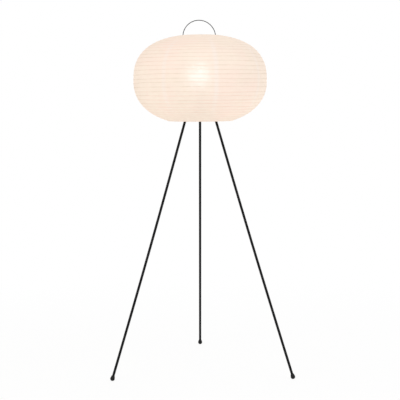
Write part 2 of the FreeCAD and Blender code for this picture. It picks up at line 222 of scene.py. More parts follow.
@dataclass(frozen=True)
class MulberryPaper(Finish):
    """Washi, hand-laid and uncoated: cloudy pulp and curly fibres, with the glow of the bulb inside it painted on as
    emission.
    """

    title: str = "hand_laid_mulberry_paper"
    slot: str = "washi_paper"
    sheet: str = "#d8d1c8"
    thick: str = "#d2cac1"          # where more pulp settled
    rosy: str = "#dacdc6"           # where the sheet has aged
    overlap: str = "#d9d4d1"        # two layers: whiter from outside
    glow: str = "#998676"           # painted glow, as emission: what the bulb adds through one layer
    strip: str = "#7d6800"          # painted shadow of a hoop on the sheet: warm, as bamboo keeps back blue
    strip_glow: str = "#593f00"     # and so is its painted shadow in the glow
    line_shade: float = 0.17        # share of the light that a hoop keeps back, as painted shadow
    seam_shade: float = 0.04        # share of the painted glow that an overlap keeps back
    bays: float = 31.0
    bay_mm: float = 17.1
    line_mm: float = 2.4
    gores: float = 8.0
    seam_turn: float = 0.278        # first overlap, as a share of a gore from the +X side
    seam_mm: float = 16.0
    seam_least: float = 0.22        # how much the faintest overlap shows, and the plainest
    seam_most: float = 0.78
    low_bay_glow: float = 1.18       # painted glow: the low bays are painted brighter
    relief_mm: float = 0.25

    def inputs(self, tree: bpy.types.NodeTree, where: bpy.types.NodeSocket) -> dict[str, Any]:
        """Pulp, the painted shadows of the hoops, the overlaps of the gores and the painted glow.

        Args:
            tree: The material's node tree.
            where: Coordinates on the piece, in metres.

        Returns:
            What each input of the surface shader takes.
        """
        plan = add(tree, SPLIT, add(tree, "ShaderNodeUVMap", uv_map="UVMap"))
        place = add(tree, SPLIT, where)
        # a hoop lies under every whole bay, and its painted shadow is as wide as the strip
        bay = add(tree, "FRACT", add(tree, "MULTIPLY_ADD", plan.outputs[1], self.bays, 0.5))
        hoop = add(tree, "ABSOLUTE", add(tree, "SUBTRACT", bay, 0.5))
        half = 0.5 * self.line_mm / self.bay_mm
        line = add(tree, RANGE, hoop, 0.4 * half, 1.7 * half, 1.0, 0.0)
        # distance in metres from the middle of the nearest overlap
        reach = add(tree, "SQRT", add(tree, "ADD", add(tree, "POWER", place.outputs[0], 2.0),
                                      add(tree, "POWER", place.outputs[1], 2.0)))
        counted = add(tree, "MULTIPLY_ADD", plan.outputs[0], self.gores, 0.5 - self.seam_turn)
        gore = add(tree, "FRACT", counted)
        away = add(tree, "MULTIPLY", add(tree, "ABSOLUTE", add(tree, "SUBTRACT", gore, 0.5)), TURN / self.gores)
        away = add(tree, "MULTIPLY", away, reach)
        seam = add(tree, RANGE, away, 0.2 * self.seam_mm * MM, 0.8 * self.seam_mm * MM, 1.0, 0.0)
        # an overlap narrows to nothing where the gores taper towards the mouths
        taper = add(tree, "ABSOLUTE", add(tree, "SUBTRACT", plan.outputs[1], 0.5))
        seam = add(tree, "MULTIPLY", seam, add(tree, RANGE, taper, 0.15, 0.42, 1.0, 0.0))
        # and each was pasted by hand, so some show more than others
        number = add(tree, "FLOOR", counted)
        share = add(tree, "ShaderNodeTexWhiteNoise", number, noise_dimensions="1D").outputs["Value"]
        seam = add(tree, "MULTIPLY", seam, add(tree, RANGE, share, 0.0, 1.0, self.seam_least, self.seam_most))
        # pulp: 16 mm clouds, and fibres 5 mm and 2 mm apart, because finer ones would not show
        pulp = add(tree, "MULTIPLY", patches(tree, where, 16.0, Detail=4.0), 0.5)
        for size, width, weight in ((5.0, 0.02, 0.3), (2.2, 0.035, 0.2)):
            soft = add(tree, NOISE, {"Vector": where, "Scale": cells(size), "Detail": 1.0, "Distortion": 0.7})
            crossing = add(tree, "ABSOLUTE", add(tree, "SUBTRACT", soft, 0.5))
            pulp = add(tree, "MULTIPLY_ADD", add(tree, RANGE, crossing, 0.0, width, 1.0, 0.0), weight, pulp)
        bare = add(tree, MIX, pulp, linear(self.sheet), linear(self.thick), data_type="RGBA")
        # the sheet is rosier in patches of 140 mm
        patch = patches(tree, where, 140.0, (0.45, 0.65, 0.0, 1.0), Detail=2.0)
        bare = add(tree, MIX, patch, bare, linear(self.rosy), data_type="RGBA")
        plain = add(tree, MIX, seam, bare, linear(self.overlap), data_type="RGBA")
        # the painted shadow of a hoop shows less where the paste holds the paper off it, in stretches of 45 mm
        paste = patches(tree, where, 45.0, (0.35, 0.65, 0.5, 1.15))
        hoop_shadow = add(tree, "MULTIPLY", add(tree, "MULTIPLY", line, paste), self.line_shade)
        # the hoop's painted shadow darkens the sheet's colour
        colour = add(tree, MIX, hoop_shadow, plain, linear(self.strip), data_type="RGBA")
        # painted glow: what is left of it after pulp, overlap and hoop, brighter on the low bays
        lit = add(tree, RANGE, pulp, 0.0, 1.0, 1.03, 0.96)
        lit = add(tree, "MULTIPLY", lit, add(tree, RANGE, seam, 0.0, 1.0, 1.0, 1.0 - self.seam_shade))
        lit = add(tree, "MULTIPLY", lit, add(tree, RANGE, plan.outputs[1], 0.60, 0.82, 1.0, self.low_bay_glow))
        warm = add(tree, MIX, lit, linear("#000000"), linear(self.glow), data_type="RGBA", clamp_factor=False)
        # and the hoop's painted shadow darkens the painted glow too
        warm = add(tree, MIX, hoop_shadow, warm, linear(self.strip_glow), data_type="RGBA")
        rise = add(tree, "MULTIPLY_ADD", seam, 0.4, add(tree, "MULTIPLY", pulp, 0.4))
        return {
            "Base Color": colour,
            # blurs the bulb: a tight spot where the sheet is thin, and a wide halo where it is thick
            "Roughness": add(tree, RANGE, pulp, 0.1, 0.8, 0.32, 0.95),
            "Normal": add(tree, BUMP, {"Height": rise, "Distance": self.relief_mm * MM}),
            "Emission Color": warm,
            "Emission Strength": 1.0,
            # some light goes straight on between the fibres, so the bulb shows as a soft spot
            "Transmission Weight": 0.06,
            "IOR": 1.3,
            "Specular IOR Level": 0.0,
        }


@dataclass(frozen=True)
class SplitBamboo(Finish):
    """Bamboo, split and planed: straw-coloured, streaked along the strip."""

    title: str = "split_planed_bamboo"
    slot: str = "bamboo"

    def inputs(self, tree: bpy.types.NodeTree, where: bpy.types.NodeSocket) -> dict[str, Any]:
        """Streaks 0.6 mm apart across the strip, with sunned patches of 70 mm.

        Args:
            tree: The material's node tree.
            where: Coordinates on the piece, in metres.

        Returns:
            What each input of the surface shader takes.
        """
        flat = add(tree, "ShaderNodeMapping", {"Vector": where, "Scale": (1.0, 1.0, 14.0)})
        streak = add(tree, NOISE, {"Vector": flat, "Scale": cells(9.0), "Detail": 3.0})
        patch = add(tree, NOISE, {"Vector": where, "Scale": cells(70.0)})
        tone = add(tree, RANGE, add(tree, "MULTIPLY_ADD", patch, 0.6, add(tree, "MULTIPLY", streak, 0.4)), 0.4, 0.6)
        return {
            "Base Color": add(tree, MIX, tone, linear("#cdb07d"), linear("#a98753"), data_type="RGBA"),
            "Roughness": add(tree, RANGE, streak, 0.3, 0.7, 0.45, 0.62),
            "Normal": add(tree, BUMP, {"Height": streak, "Distance": 0.08 * MM}),
        }


@dataclass(frozen=True)
class BlackSteel(Finish):
    """Steel under black paint: a satin skin with orange peel, or the finer pebble of powder."""

    title: str = "black_enamelled_steel"
    slot: str = "black_paint"
    coating: Coating = Coating.ENAMEL

    def inputs(self, tree: bpy.types.NodeTree, where: bpy.types.NodeSocket) -> dict[str, Any]:
        """Peel at the coating's own grain, over 55 mm drifts where the coat is thinner.

        Args:
            tree: The material's node tree.
            where: Coordinates on the piece, in metres.

        Returns:
            What each input of the surface shader takes.
        """
        peel = add(tree, NOISE, {"Vector": where, "Scale": cells(self.coating.value)})
        drift = patches(tree, where, 55.0, Detail=3.0)
        rough = 0.46 if self.coating is Coating.ENAMEL else 0.56
        return {
            "Base Color": add(tree, MIX, drift, linear("#0a0a0b"), linear("#121213"), data_type="RGBA"),
            "Roughness": add(tree, RANGE, drift, 0.0, 1.0, rough, rough + 0.12),
            "Normal": add(tree, BUMP, {"Height": peel, "Distance": 0.03 * MM}),
            "Specular IOR Level": 0.12,
        }


@dataclass(frozen=True)
class MouldedRubber(Finish):
    """Rubber, compression moulded: dull black, dusty near the floor."""

    title: str = "moulded_black_rubber"
    slot: str = "black_rubber"

    def inputs(self, tree: bpy.types.NodeTree, where: bpy.types.NodeSocket) -> dict[str, Any]:
        """Grit of 0.8 mm, and dust on the lowest 6 mm.

        Args:
            tree: The material's node tree.
            where: Coordinates on the piece, in metres.

        Returns:
            What each input of the surface shader takes.
        """
        grit = add(tree, NOISE, {"Vector": where, "Scale": cells(0.8)})
        low = add(tree, RANGE, add(tree, SPLIT, where).outputs[2], 0.0, 0.006, 0.4, 0.0)
        dust = add(tree, "MULTIPLY", low, add(tree, NOISE, {"Vector": where, "Scale": cells(1.8), "Detail": 3.0}))
        return {
            "Base Color": add(tree, MIX, dust, linear("#0f0f10"), linear("#4a4743"), data_type="RGBA"),
            "Roughness": add(tree, RANGE, grit, 0.3, 0.7, 0.44, 0.58),
            "Normal": add(tree, BUMP, {"Height": grit, "Distance": 0.03 * MM}),
            "Specular IOR Level": 0.2,
        }


@dataclass(frozen=True)
class Metal(Finish):
    """Bare or plated metal: bright, mottled, with fine marks from turning or drawing."""

    title: str = "zinc_plated_steel"
    slot: str = "zinc_steel"
    bright: str = "#c6c9cc"
    dull: str = "#a3a6a8"
    rough: float = 0.28
    mottle_mm: float = 6.0

    def inputs(self, tree: bpy.types.NodeTree, where: bpy.types.NodeSocket) -> dict[str, Any]:
        """Mottling, and marks 0.5 mm apart round the axis.

        Args:
            tree: The material's node tree.
            where: Coordinates on the piece, in metres.

        Returns:
            What each input of the surface shader takes.
        """
        mottle = patches(tree, where, self.mottle_mm, Detail=3.0)
        flat = add(tree, "ShaderNodeMapping", {"Vector": where, "Scale": (1.0, 1.0, 9.0)})
        marks = add(tree, NOISE, {"Vector": flat, "Scale": cells(4.5)})
        return {
            "Base Color": add(tree, MIX, mottle, linear(self.bright), linear(self.dull), data_type="RGBA"),
            "Metallic": 1.0,
            "Roughness": add(tree, RANGE, mottle, 0.0, 1.0, self.rough, self.rough + 0.15),
            "Normal": add(tree, BUMP, {"Height": marks, "Distance": 0.01 * MM}),
        }


@dataclass(frozen=True)
class Phenolic(Finish):
    """Phenolic resin, compression moulded: brown-black, hard, with faint flow marks."""

    title: str = "moulded_phenolic_resin"
    slot: str = "black_plastic"

    def inputs(self, tree: bpy.types.NodeTree, where: bpy.types.NodeSocket) -> dict[str, Any]:
        """Flow marks of 12 mm.

        Args:
            tree: The material's node tree.
            where: Coordinates on the piece, in metres.

        Returns:
            What each input of the surface shader takes.
        """
        bent = add(tree, NOISE, {"Vector": where, "Scale": cells(12.0), "Detail": 3.0, "Distortion": 1.2})
        flow = add(tree, RANGE, bent, 0.3, 0.7)
        return {
            "Base Color": add(tree, MIX, flow, linear("#161514"), linear("#242120"), data_type="RGBA"),
            "Roughness": add(tree, RANGE, flow, 0.0, 1.0, 0.26, 0.38),
            "Normal": add(tree, BUMP, {"Height": bent, "Distance": 0.02 * MM}),
        }


@dataclass(frozen=True)
class Steatite(Finish):
    """Steatite, pressed and fired: chalky off-white with small dark specks."""

    title: str = "fired_steatite"
    slot: str = "ceramic"

    def inputs(self, tree: bpy.types.NodeTree, where: bpy.types.NodeSocket) -> dict[str, Any]:
        """Chalky clouds of 5 mm and specks of a quarter of a millimetre.

        Args:
            tree: The material's node tree.
            where: Coordinates on the piece, in metres.

        Returns:
            What each input of the surface shader takes.
        """
        cloud = patches(tree, where, 5.0, Detail=3.0)
        spot = add(tree, "ShaderNodeTexVoronoi", {"Vector": where, "Scale": cells(1.6)}).outputs["Distance"]
        speck = add(tree, RANGE, spot, 0.10, 0.16, 0.4, 0.0)
        body = add(tree, MIX, cloud, linear("#ddd8cb"), linear("#cbc5b6"), data_type="RGBA")
        return {
            "Base Color": add(tree, MIX, speck, body, linear("#8b8374"), data_type="RGBA"),
            "Roughness": add(tree, RANGE, cloud, 0.0, 1.0, 0.5, 0.62),
            "Normal": add(tree, BUMP, {"Height": cloud, "Distance": 0.05 * MM}),
        }


@dataclass(frozen=True)
class OpalGlass(Finish):
    """Glass, blown and coated white inside: milky, and brightest round the filament."""

    title: str = "blown_opal_glass"
    slot: str = "opal_glass"
    middle: float = 1.1795          # where it is brightest, between filament and crown, in metres
    reach: float = 0.06
    strength: float = 0.6

    def inputs(self, tree: bpy.types.NodeTree, where: bpy.types.NodeSocket) -> dict[str, Any]:
        """Glow that fades from the ball down the neck, through a cloudy coat.

        Args:
            tree: The material's node tree.
            where: Coordinates on the piece, in metres.

        Returns:
            What each input of the surface shader takes.
        """
        coat = patches(tree, where, 9.0, (0.3, 0.7, 1.0, 0.92))
        far = add(tree, "ABSOLUTE", add(tree, "SUBTRACT", add(tree, SPLIT, where).outputs[2], self.middle))
        heat = add(tree, "MULTIPLY", add(tree, RANGE, far, 0.2 * self.reach, self.reach, 1.0, 0.1), coat)
        return {
            "Base Color": add(tree, MIX, coat, linear("#d3cbbf"), linear("#e0dacd"), data_type="RGBA"),
            "Roughness": add(tree, RANGE, coat, 0.92, 1.0, 0.3, 0.2),
            "Emission Color": add(tree, MIX, heat, linear("#6b5f50"), linear("#fff4e0"), data_type="RGBA"),
            "Emission Strength": self.strength,
        }


@dataclass(frozen=True)
class Glass(Finish):
    """Glass, drawn or pressed hot: smooth, with slight streaks."""

    title: str = "drawn_clear_glass"
    slot: str = "clear_glass"
    tint: str = "#eef5f1"
    streak: str = "#dfe9e4"
    clear: float = 0.85

    def inputs(self, tree: bpy.types.NodeTree, where: bpy.types.NodeSocket) -> dict[str, Any]:
        """Streaks of 4 mm from the hot glass.

        Args:
            tree: The material's node tree.
            where: Coordinates on the piece, in metres.

        Returns:
            What each input of the surface shader takes.
        """
        bent = add(tree, NOISE, {"Vector": where, "Scale": cells(4.0), "Distortion": 1.0})
        return {
            "Base Color": add(tree, MIX, bent, linear(self.tint), linear(self.streak), data_type="RGBA"),
            "Roughness": add(tree, RANGE, bent, 0.3, 0.7, 0.05, 0.12),
            "Normal": add(tree, BUMP, {"Height": bent, "Distance": 0.04 * MM}),
            "Transmission Weight": self.clear,
        }


PAPER = MulberryPaper()
BAMBOO = SplitBamboo()
ENAMEL = BlackSteel()
POWDER = BlackSteel(title="black_powder_coated_steel", coating=Coating.POWDER)
WIRE = BlackSteel(title="black_enamelled_wire", slot="black_wire")
RUBBER = MouldedRubber()
ZINC = Metal()
BRASS = Metal(title="drawn_brass", slot="brass", bright="#d9b36a", dull="#b98f4c", rough=0.22)
NICKEL = Metal(title="nickel_plated_brass", slot="nickel", bright="#cfcbc2", dull="#b5b0a6", rough=0.2)
SOLDER = Metal(title="tin_solder", slot="solder", bright="#b9bab9", dull="#979897", rough=0.4, mottle_mm=1.5)
TUNGSTEN = Metal(title="drawn_tungsten", slot="tungsten", bright="#9a958d", dull="#7d7870", rough=0.35)
RESIN = Phenolic()
CERAMIC = Steatite()
OPAL = OpalGlass()
CLEAR = Glass()
BEAD = Glass(title="pressed_black_glass", slot="black_glass", tint="#0b0b0e", streak="#17161a", clear=0.0)


# ---------------------------------------------------------------- making and placing pieces
def place(name: str, mesh: bpy.types.Mesh, finish: Finish, body: str, *nodes: str) -> bpy.types.Object:
    """Put a finished mesh on its body, in the place of nodes of the solid model.

    Args:
        name: Name of the piece.
        mesh: Its mesh, in metres, in the lamp's own frame.
        finish: What it is made of.
        body: The body that it moves with.
        *nodes: The nodes that it stands for.

    Returns:
        The new object.
    """
    mesh.name = name
    mesh.materials.clear()
    mesh.materials.append(finish.material())
    made = put(name, mesh)
    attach(made, body)
    if nodes:
        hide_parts(*nodes)
    log.info("%-22s %6d faces, %s, on %s", name, len(mesh.polygons), finish.title, body)
    return made


def dress(finish: Finish, *nodes: str) -> None:
    """Give pieces of the solid model their finish.

    Args:
        finish: What they are made of.
        *nodes: The pieces.
    """
    for node in nodes:
        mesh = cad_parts[node].data
        mesh.materials.clear()
        mesh.materials.append(finish.material())
        mesh.polygons.foreach_set("material_index", [0] * len(mesh.polygons))
        log.info("%-22s dressed, %s", node, finish.title)


def soften(mesh: bpy.types.Mesh, sharp: float = 35.0) -> bpy.types.Mesh:
    """Shade a mesh smoothly.

    Args:
        mesh: The mesh.
        sharp: Angle in degrees above which an edge stays sharp.

    Returns:
        The same mesh.
    """
    mesh.shade_smooth()
    mesh.set_sharp_from_angle(angle=math.radians(sharp))
    return mesh


def shell(name: str, rows: Sequence[Sequence[Vector]], around: bool, along: bool) -> bpy.types.Mesh:
    """Skin over rows of points in millimetres, closed round each row and from last row to first.

    Args:
        name: Name of the mesh.
        rows: Rows of as many points each; a row of equal points closes to a pole.
        around: Whether each row is a ring.
        along: Whether the last row joins the first.

    Returns:
        The mesh, with its doubles merged and its faces outwards.
    """
    form = bmesh.new()
    corners = [[form.verts.new(point * MM) for point in row] for row in rows]
    pairs = list(zip(corners, corners[1:])) + ([(corners[-1], corners[0])] if along else [])
    for low, high in pairs:
        for step in range(len(low) if around else len(low) - 1):
            after = (step + 1) % len(low)
            form.faces.new([low[step], low[after], high[after], high[step]])
    bmesh.ops.remove_doubles(form, verts=form.verts, dist=WELD)
    bmesh.ops.recalc_face_normals(form, faces=form.faces)
    mesh = bpy.data.meshes.new(name)
    form.to_mesh(mesh)
    form.free()
    return soften(mesh)


def turned(name: str, profile: Profile, sides: int = 64, closed: bool = True) -> bpy.types.Mesh:
    """Turn a profile of radii and heights in millimetres about the lamp's axis.

    Args:
        name: Name of the mesh.
        profile: Corners of the profile.
        sides: Steps round the axis.
        closed: Whether the last corner joins the first.

    Returns:
        The mesh.
    """
    ring = [(math.cos(TURN * i / sides), math.sin(TURN * i / sides)) for i in range(sides)]
    rows = [[Vector((r * c, r * s, z)) for c, s in ring] for r, z in profile]
    return shell(name, rows, True, closed)


def arc(centre: tuple[float, float], radius: float, start: float, end: float, steps: int = 8) -> Profile:
    """Points of an arc between two angles in degrees."""
    turns = [math.radians(start + (end - start) * i / steps) for i in range(steps + 1)]
    return [(centre[0] + radius * math.cos(t), centre[1] + radius * math.sin(t)) for t in turns]


def bar(name: str, points: Sequence[Vector], radii: Sequence[float], sides: int = 20) -> bpy.types.Mesh:
    """Round bar along points in millimetres, with a radius at each and closed ends.

    Args:
        name: Name of the mesh.
        points: Its centre line.
        radii: Its radius at each point.
        sides: Sides of its section.

    Returns:
        The mesh.
    """
    rows = []
    side = (points[1] - points[0]).orthogonal().normalized()
    for index, point in enumerate(points):
        way = (points[min(index + 1, len(points) - 1)] - points[max(index - 1, 0)]).normalized()
        side = (side - way * side.dot(way)).normalized()
        other = way.cross(side)
        turns = [TURN * i / sides for i in range(sides)]
        rows.append([point + (side * math.cos(t) + other * math.sin(t)) * radii[index] for t in turns])
    rows = [[points[0]] * sides] + rows + [[points[-1]] * sides]
    return shell(name, rows, True, False)


def eased(node: str, width_mm: float, sharp: float = 30.0) -> bpy.types.Mesh:
    """Copy a piece of the solid model, with its edges broken as a tumbled or deburred piece has them.

    Args:
        node: The node to copy.
        width_mm: Width of the broken edges.
        sharp: Smallest angle in degrees that counts as an edge.

    Returns:
        The mesh.
    """
    form = bmesh.new()
    form.from_mesh(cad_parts[node].data)
    bmesh.ops.remove_doubles(form, verts=form.verts, dist=WELD)
    bmesh.ops.dissolve_limit(form, angle_limit=math.radians(1.0), verts=form.verts, edges=form.edges)
    edges = [e for e in form.edges if len(e.link_faces) == 2 and e.calc_face_angle(0.0) > math.radians(sharp)]
    bmesh.ops.bevel(form, geom=edges, offset=width_mm * MM, segments=2, profile=0.6, affect="EDGES",
                    clamp_overlap=True)
    bmesh.ops.triangulate(form, faces=form.faces)
    mesh = bpy.data.meshes.new(node + "_eased")
    form.to_mesh(mesh)
    form.free()
    return soften(mesh, 40.0)


def place_eased(body: str, *rows: tuple[str, str, float, Finish]) -> None:
    """Put copies of solid pieces, with broken edges, in their places.

    Args:
        body: The body that they move with.
        *rows: Name, node to copy, width of the broken edges in millimetres, and finish of each.
    """
    for name, node, width_mm, finish in rows:
        place(name, eased(node, width_mm), finish, body, node)


# ---------------------------------------------------------------- geometry node trees
def begin(title: str, inputs: Sequence[tuple[str, str, Any]],
          outputs: Sequence[tuple[str, str]] = ()) -> tuple[bpy.types.NodeTree, Any]:
    """Begin a geometry node tree.

    Args:
        title: Name of the tree.
        inputs: Name, socket type and default of each input.
        outputs: Name and socket type of each output, the geometry where none is given.

    Returns:
        The tree, and the outputs of its input node.
    """
    tree = bpy.data.node_groups.new(title, "GeometryNodeTree")
    for name, kind, default in inputs:
        made = tree.interface.new_socket(name, in_out="INPUT", socket_type=kind)
        if default is not None:
            made.default_value = default
    for name, kind in outputs or (("Geometry", "NodeSocketGeometry"),):
        tree.interface.new_socket(name, in_out="OUTPUT", socket_type=kind)
    return tree, add(tree, "NodeGroupInput").outputs


def finish_tree(tree: bpy.types.NodeTree, shape: bpy.types.Node, material: bpy.types.NodeSocket,
                closed: bool = True) -> None:
    """End a tree in real, smooth, dressed geometry.

    Args:
        tree: The tree.
        shape: Its last shape.
        material: The input with the material.
        closed: Whether its seams are merged.
    """
    if closed:
        shape = add(tree, "GeometryNodeMergeByDistance", shape, {"Distance": WELD})
    real = add(tree, "GeometryNodeRealizeInstances", add(tree, "GeometryNodeSetShadeSmooth", shape))
    add(tree, "NodeGroupOutput", add(tree, "GeometryNodeSetMaterial", real, {"Material": material}))


def grow(name: str, tree: bpy.types.NodeTree, values: dict[str, Any]) -> bpy.types.Mesh:
    """Run a tree and keep its result as a plain mesh.

    Args:
        name: Name of the mesh.
        tree: The tree.
        values: Input name to value.

    Returns:
        The mesh.
    """
    seed = put(name + "_seed", bpy.data.meshes.new(name + "_seed"))
    modifier = seed.modifiers.new("grow", "NODES")
    modifier.node_group = tree
    for socket in tree.interface.items_tree:
        if socket.in_out == "INPUT" and socket.name in values:
            modifier[socket.identifier] = values[socket.name]
    mesh = bpy.data.meshes.new_from_object(seed.evaluated_get(bpy.context.evaluated_depsgraph_get()))
    seed.modifiers.remove(modifier)
    bpy.data.objects.remove(seed)
    mesh.name = name
    return mesh


def lattice(tree: bpy.types.NodeTree, rows: Any, steps: Any) -> tuple[bpy.types.Node, ...]:
    """A sheet of points to bend into shape.

    Args:
        tree: The tree.
        rows: Number of bays from the first row to the last.
        steps: Number of bays in a row.

    Returns:
        The grid, the share of the way down its rows, and the share of the way along a row.
    """
    columns = add(tree, "ADD", steps, 1.0)
    grid = add(tree, "GeometryNodeMeshGrid", {"Vertices X": add(tree, "ADD", rows, 1.0), "Vertices Y": columns})
    number = add(tree, "GeometryNodeInputIndex")
    row = add(tree, "FLOOR", add(tree, "DIVIDE", add(tree, "ADD", number, 0.5), columns))
    column = add(tree, "SUBTRACT", number, add(tree, "MULTIPLY", row, columns))
    return grid, add(tree, "DIVIDE", row, rows), add(tree, "DIVIDE", column, steps)


def ringed(tree: bpy.types.NodeTree, radius: Any, angle: Any, height: Any) -> bpy.types.Node:
    """Point at a radius, an angle and a height about the lamp's axis."""
    return add(tree, JOIN, add(tree, "MULTIPLY", radius, add(tree, "COSINE", angle)),
               add(tree, "MULTIPLY", radius, add(tree, "SINE", angle)), height)


def side_curve(sizes: dict[str, float]) -> bpy.types.NodeTree:
    """The lantern's side, from the upper mouth to the lower one: two quarters of a fuller ellipse.

    Args:
        sizes: Name and default of each input.

    Returns:
        The tree, a group for the skin and the hoops.
    """
    tree, given = begin("lantern side curve", [(name, FLOAT, size) for name, size in sizes.items()],
                        [("Curve", "NodeSocketGeometry")])
    ends = []
    for mouth, fullness in (("Top Mouth", "Upper Fullness"), ("Bottom Mouth", "Lower Fullness")):
        share = add(tree, "DIVIDE", given[mouth], given["Radius"])
        ends.append(add(tree, "ARCCOSINE", add(tree, "POWER", share, add(tree, "DIVIDE", given[fullness], 2.0))))
    samples = 2400
    way = add(tree, "DIVIDE", add(tree, "GeometryNodeInputIndex"), float(samples))
    angle = add(tree, "SUBTRACT", ends[0], add(tree, "MULTIPLY", way, add(tree, "ADD", ends[0], ends[1])))
    above = add(tree, "GREATER_THAN", angle, 0.0)
    fullness = add(tree, MIX, above, given["Lower Fullness"], given["Upper Fullness"])
    reach = add(tree, MIX, above, add(tree, "MULTIPLY", given["Drop"], -1.0), given["Rise"])
    power = add(tree, "DIVIDE", 2.0, fullness)
    radius = add(tree, "MULTIPLY", given["Radius"], add(tree, "POWER", add(tree, "COSINE", angle), power))
    lift = add(tree, "POWER", add(tree, "SINE", add(tree, "ABSOLUTE", angle)), power)
    height = add(tree, "MULTIPLY_ADD", reach, lift, given["Middle"])
    line = add(tree, PLACE, add(tree, "GeometryNodeMeshLine", {"Count": samples + 1}),
               {"Position": add(tree, JOIN, radius, 0.0, height)})
    add(tree, "NodeGroupOutput", add(tree, "GeometryNodeMeshToCurve", line))
    return tree


def hoop_stray() -> bpy.types.NodeTree:
    """How far a hand-bent hoop strays from a true ring, outwards and along the sheet; wire rings don't.

    Returns:
        The tree, a group for the skin and the hoops.
    """
    tree, given = begin("hoop stray", [("Angle", FLOAT, 0.0), ("Number", FLOAT, 1.0), ("Hoops", FLOAT, 30.0),
                                       ("Stray", FLOAT, 0.0038), ("Seed", FLOAT, 3.0)],
                        [("Outwards", FLOAT), ("Along", FLOAT)])
    ring = ringed(tree, 1.0, given["Angle"], 0.0)
    # each hoop takes its own slice of one noise, far enough from the next to differ from it
    slice_at = add(tree, "MULTIPLY_ADD", given["Number"], 5.37, given["Seed"])
    noise = add(tree, NOISE, {"Vector": ring, "W": slice_at, "Scale": 0.9, "Detail": 1.5}, noise_dimensions="4D")
    parts = add(tree, "FunctionNodeSeparateColor", noise.outputs["Color"])
    # the noise keeps within about a quarter of its middle, hence the four; outwards counts for a fifth
    first = add(tree, "GREATER_THAN", given["Number"], 0.5)
    last = add(tree, "LESS_THAN", given["Number"], add(tree, "ADD", given["Hoops"], 0.5))
    reach = add(tree, "MULTIPLY", add(tree, "MULTIPLY", first, last), add(tree, "MULTIPLY", given["Stray"], 4.0))
    out = add(tree, "MULTIPLY", add(tree, "SUBTRACT", parts.outputs[0], 0.5), add(tree, "MULTIPLY", reach, 0.2))
    slide = add(tree, "MULTIPLY", add(tree, "SUBTRACT", parts.outputs[1], 0.5), reach)
    add(tree, "NodeGroupOutput", out, slide)
    return tree


def slid(tree: bpy.types.NodeTree, out: Any, slide: Any, way: bpy.types.Node) -> tuple[bpy.types.Node, bpy.types.Node]:
    """Turn a hoop's stray into a step outwards and a step up, less where the sheet lies flat.

    Args:
        tree: The tree.
        out: How far the hoop strays outwards.
        slide: How far it strays along the sheet where the sheet stands upright.
        way: The sheet's direction, split into its parts.

    Returns:
        The step outwards and the step up.
    """
    slope = add(tree, "MULTIPLY", slide, way.outputs[2])
    return (add(tree, "MULTIPLY_ADD", slope, way.outputs[0], out), add(tree, "MULTIPLY", slope, way.outputs[2]))


def on_curve(tree: bpy.types.NodeTree, side: bpy.types.NodeTree, share: Any) -> tuple[bpy.types.Node, ...]:
    """Find a spot on the lantern's side.

    Args:
        tree: The tree.
        side: Group that gives the lantern's side curve.
        share: Share of the way down the curve.

    Returns:
        The spot and the sheet's direction there, each split into its parts.
    """
    curve = add(tree, "GeometryNodeGroup", node_tree=side)
    sample = add(tree, "GeometryNodeSampleCurve", {"Curves": curve, "Factor": share}, mode="FACTOR",
                 use_all_curves=True)
    return add(tree, SPLIT, sample.outputs["Position"]), add(tree, SPLIT, sample.outputs["Tangent"])


def skin_tree(side: bpy.types.NodeTree, stray: bpy.types.NodeTree) -> bpy.types.NodeTree:
    """Paper pasted over the hoops, which dips a little between them.

    Args:
        side: Group that gives the lantern's side curve.
        stray: Group that gives a hoop's stray.

    Returns:
        The tree.
    """
    tree, given = begin("lantern skin", [("Hoops", FLOAT, 30.0), ("Rows per Bay", FLOAT, 5.0),
                                         ("Steps Round", FLOAT, 240.0), ("Dip", FLOAT, 0.0007),
                                         ("Stray", FLOAT, 0.0038), ("Seed", FLOAT, 3.0), ("Hem", FLOAT, 0.0066),
                                         ("Material", STUFF, None)])
    bays = add(tree, "ADD", given["Hoops"], 1.0)
    grid, down, along = lattice(tree, add(tree, "MULTIPLY", bays, given["Rows per Bay"]), given["Steps Round"])
    kept = add(tree, "GeometryNodeCaptureAttribute")
    kept.capture_items.new("VECTOR", "plan")
    tree.links.new(grid.outputs[0], kept.inputs[0])
    tree.links.new(add(tree, JOIN, along, down).outputs[0], kept.inputs[1])
    angle = add(tree, "MULTIPLY", along, TURN)
    # the sheet stops where the hems begin
    least = add(tree, "MAXIMUM", down, given["Hem"])
    spot, way = on_curve(tree, side, add(tree, "MINIMUM", least, add(tree, "SUBTRACT", 1.0, given["Hem"])))
    # the stray of the hoop above and of the one below, shared across the bay
    place_in = add(tree, "MULTIPLY", down, bays)
    slack = 0.0001                  # a row on a hoop counts as the start of its bay
    above = add(tree, "FLOOR", add(tree, "ADD", place_in, slack))
    share = add(tree, "SUBTRACT", place_in, above)
    bent = {name: given[name] for name in ("Hoops", "Stray", "Seed")}
    pair = [add(tree, "GeometryNodeGroup", {"Angle": angle, "Number": number, **bent}, node_tree=stray)
            for number in (above, add(tree, "ADD", above, 1.0))]
    out, slide = [add(tree, MIX, share, pair[0].outputs[name], pair[1].outputs[name])
                  for name in ("Outwards", "Along")]
    out, rise = slid(tree, out, slide, way)
    # the dip is deepest midway and lies square to the sheet
    hollow = add(tree, "MULTIPLY", share, add(tree, "SUBTRACT", share, 1.0))
    dip = add(tree, "MULTIPLY", hollow, add(tree, "MULTIPLY", given["Dip"], 4.0))
    out = add(tree, "SUBTRACT", out, add(tree, "MULTIPLY", dip, way.outputs[2]))
    rise = add(tree, "MULTIPLY_ADD", dip, way.outputs[0], rise)
    point = ringed(tree, add(tree, "ADD", spot.outputs[0], out), angle, add(tree, "ADD", spot.outputs[2], rise))
    shaped = add(tree, PLACE, kept, {"Position": point})
    mapped = add(tree, "GeometryNodeStoreNamedAttribute", shaped, {"Name": "UVMap", "Value": kept.outputs[1]},
                 data_type="FLOAT2", domain="CORNER")
    finish_tree(tree, mapped, given["Material"])
    return tree


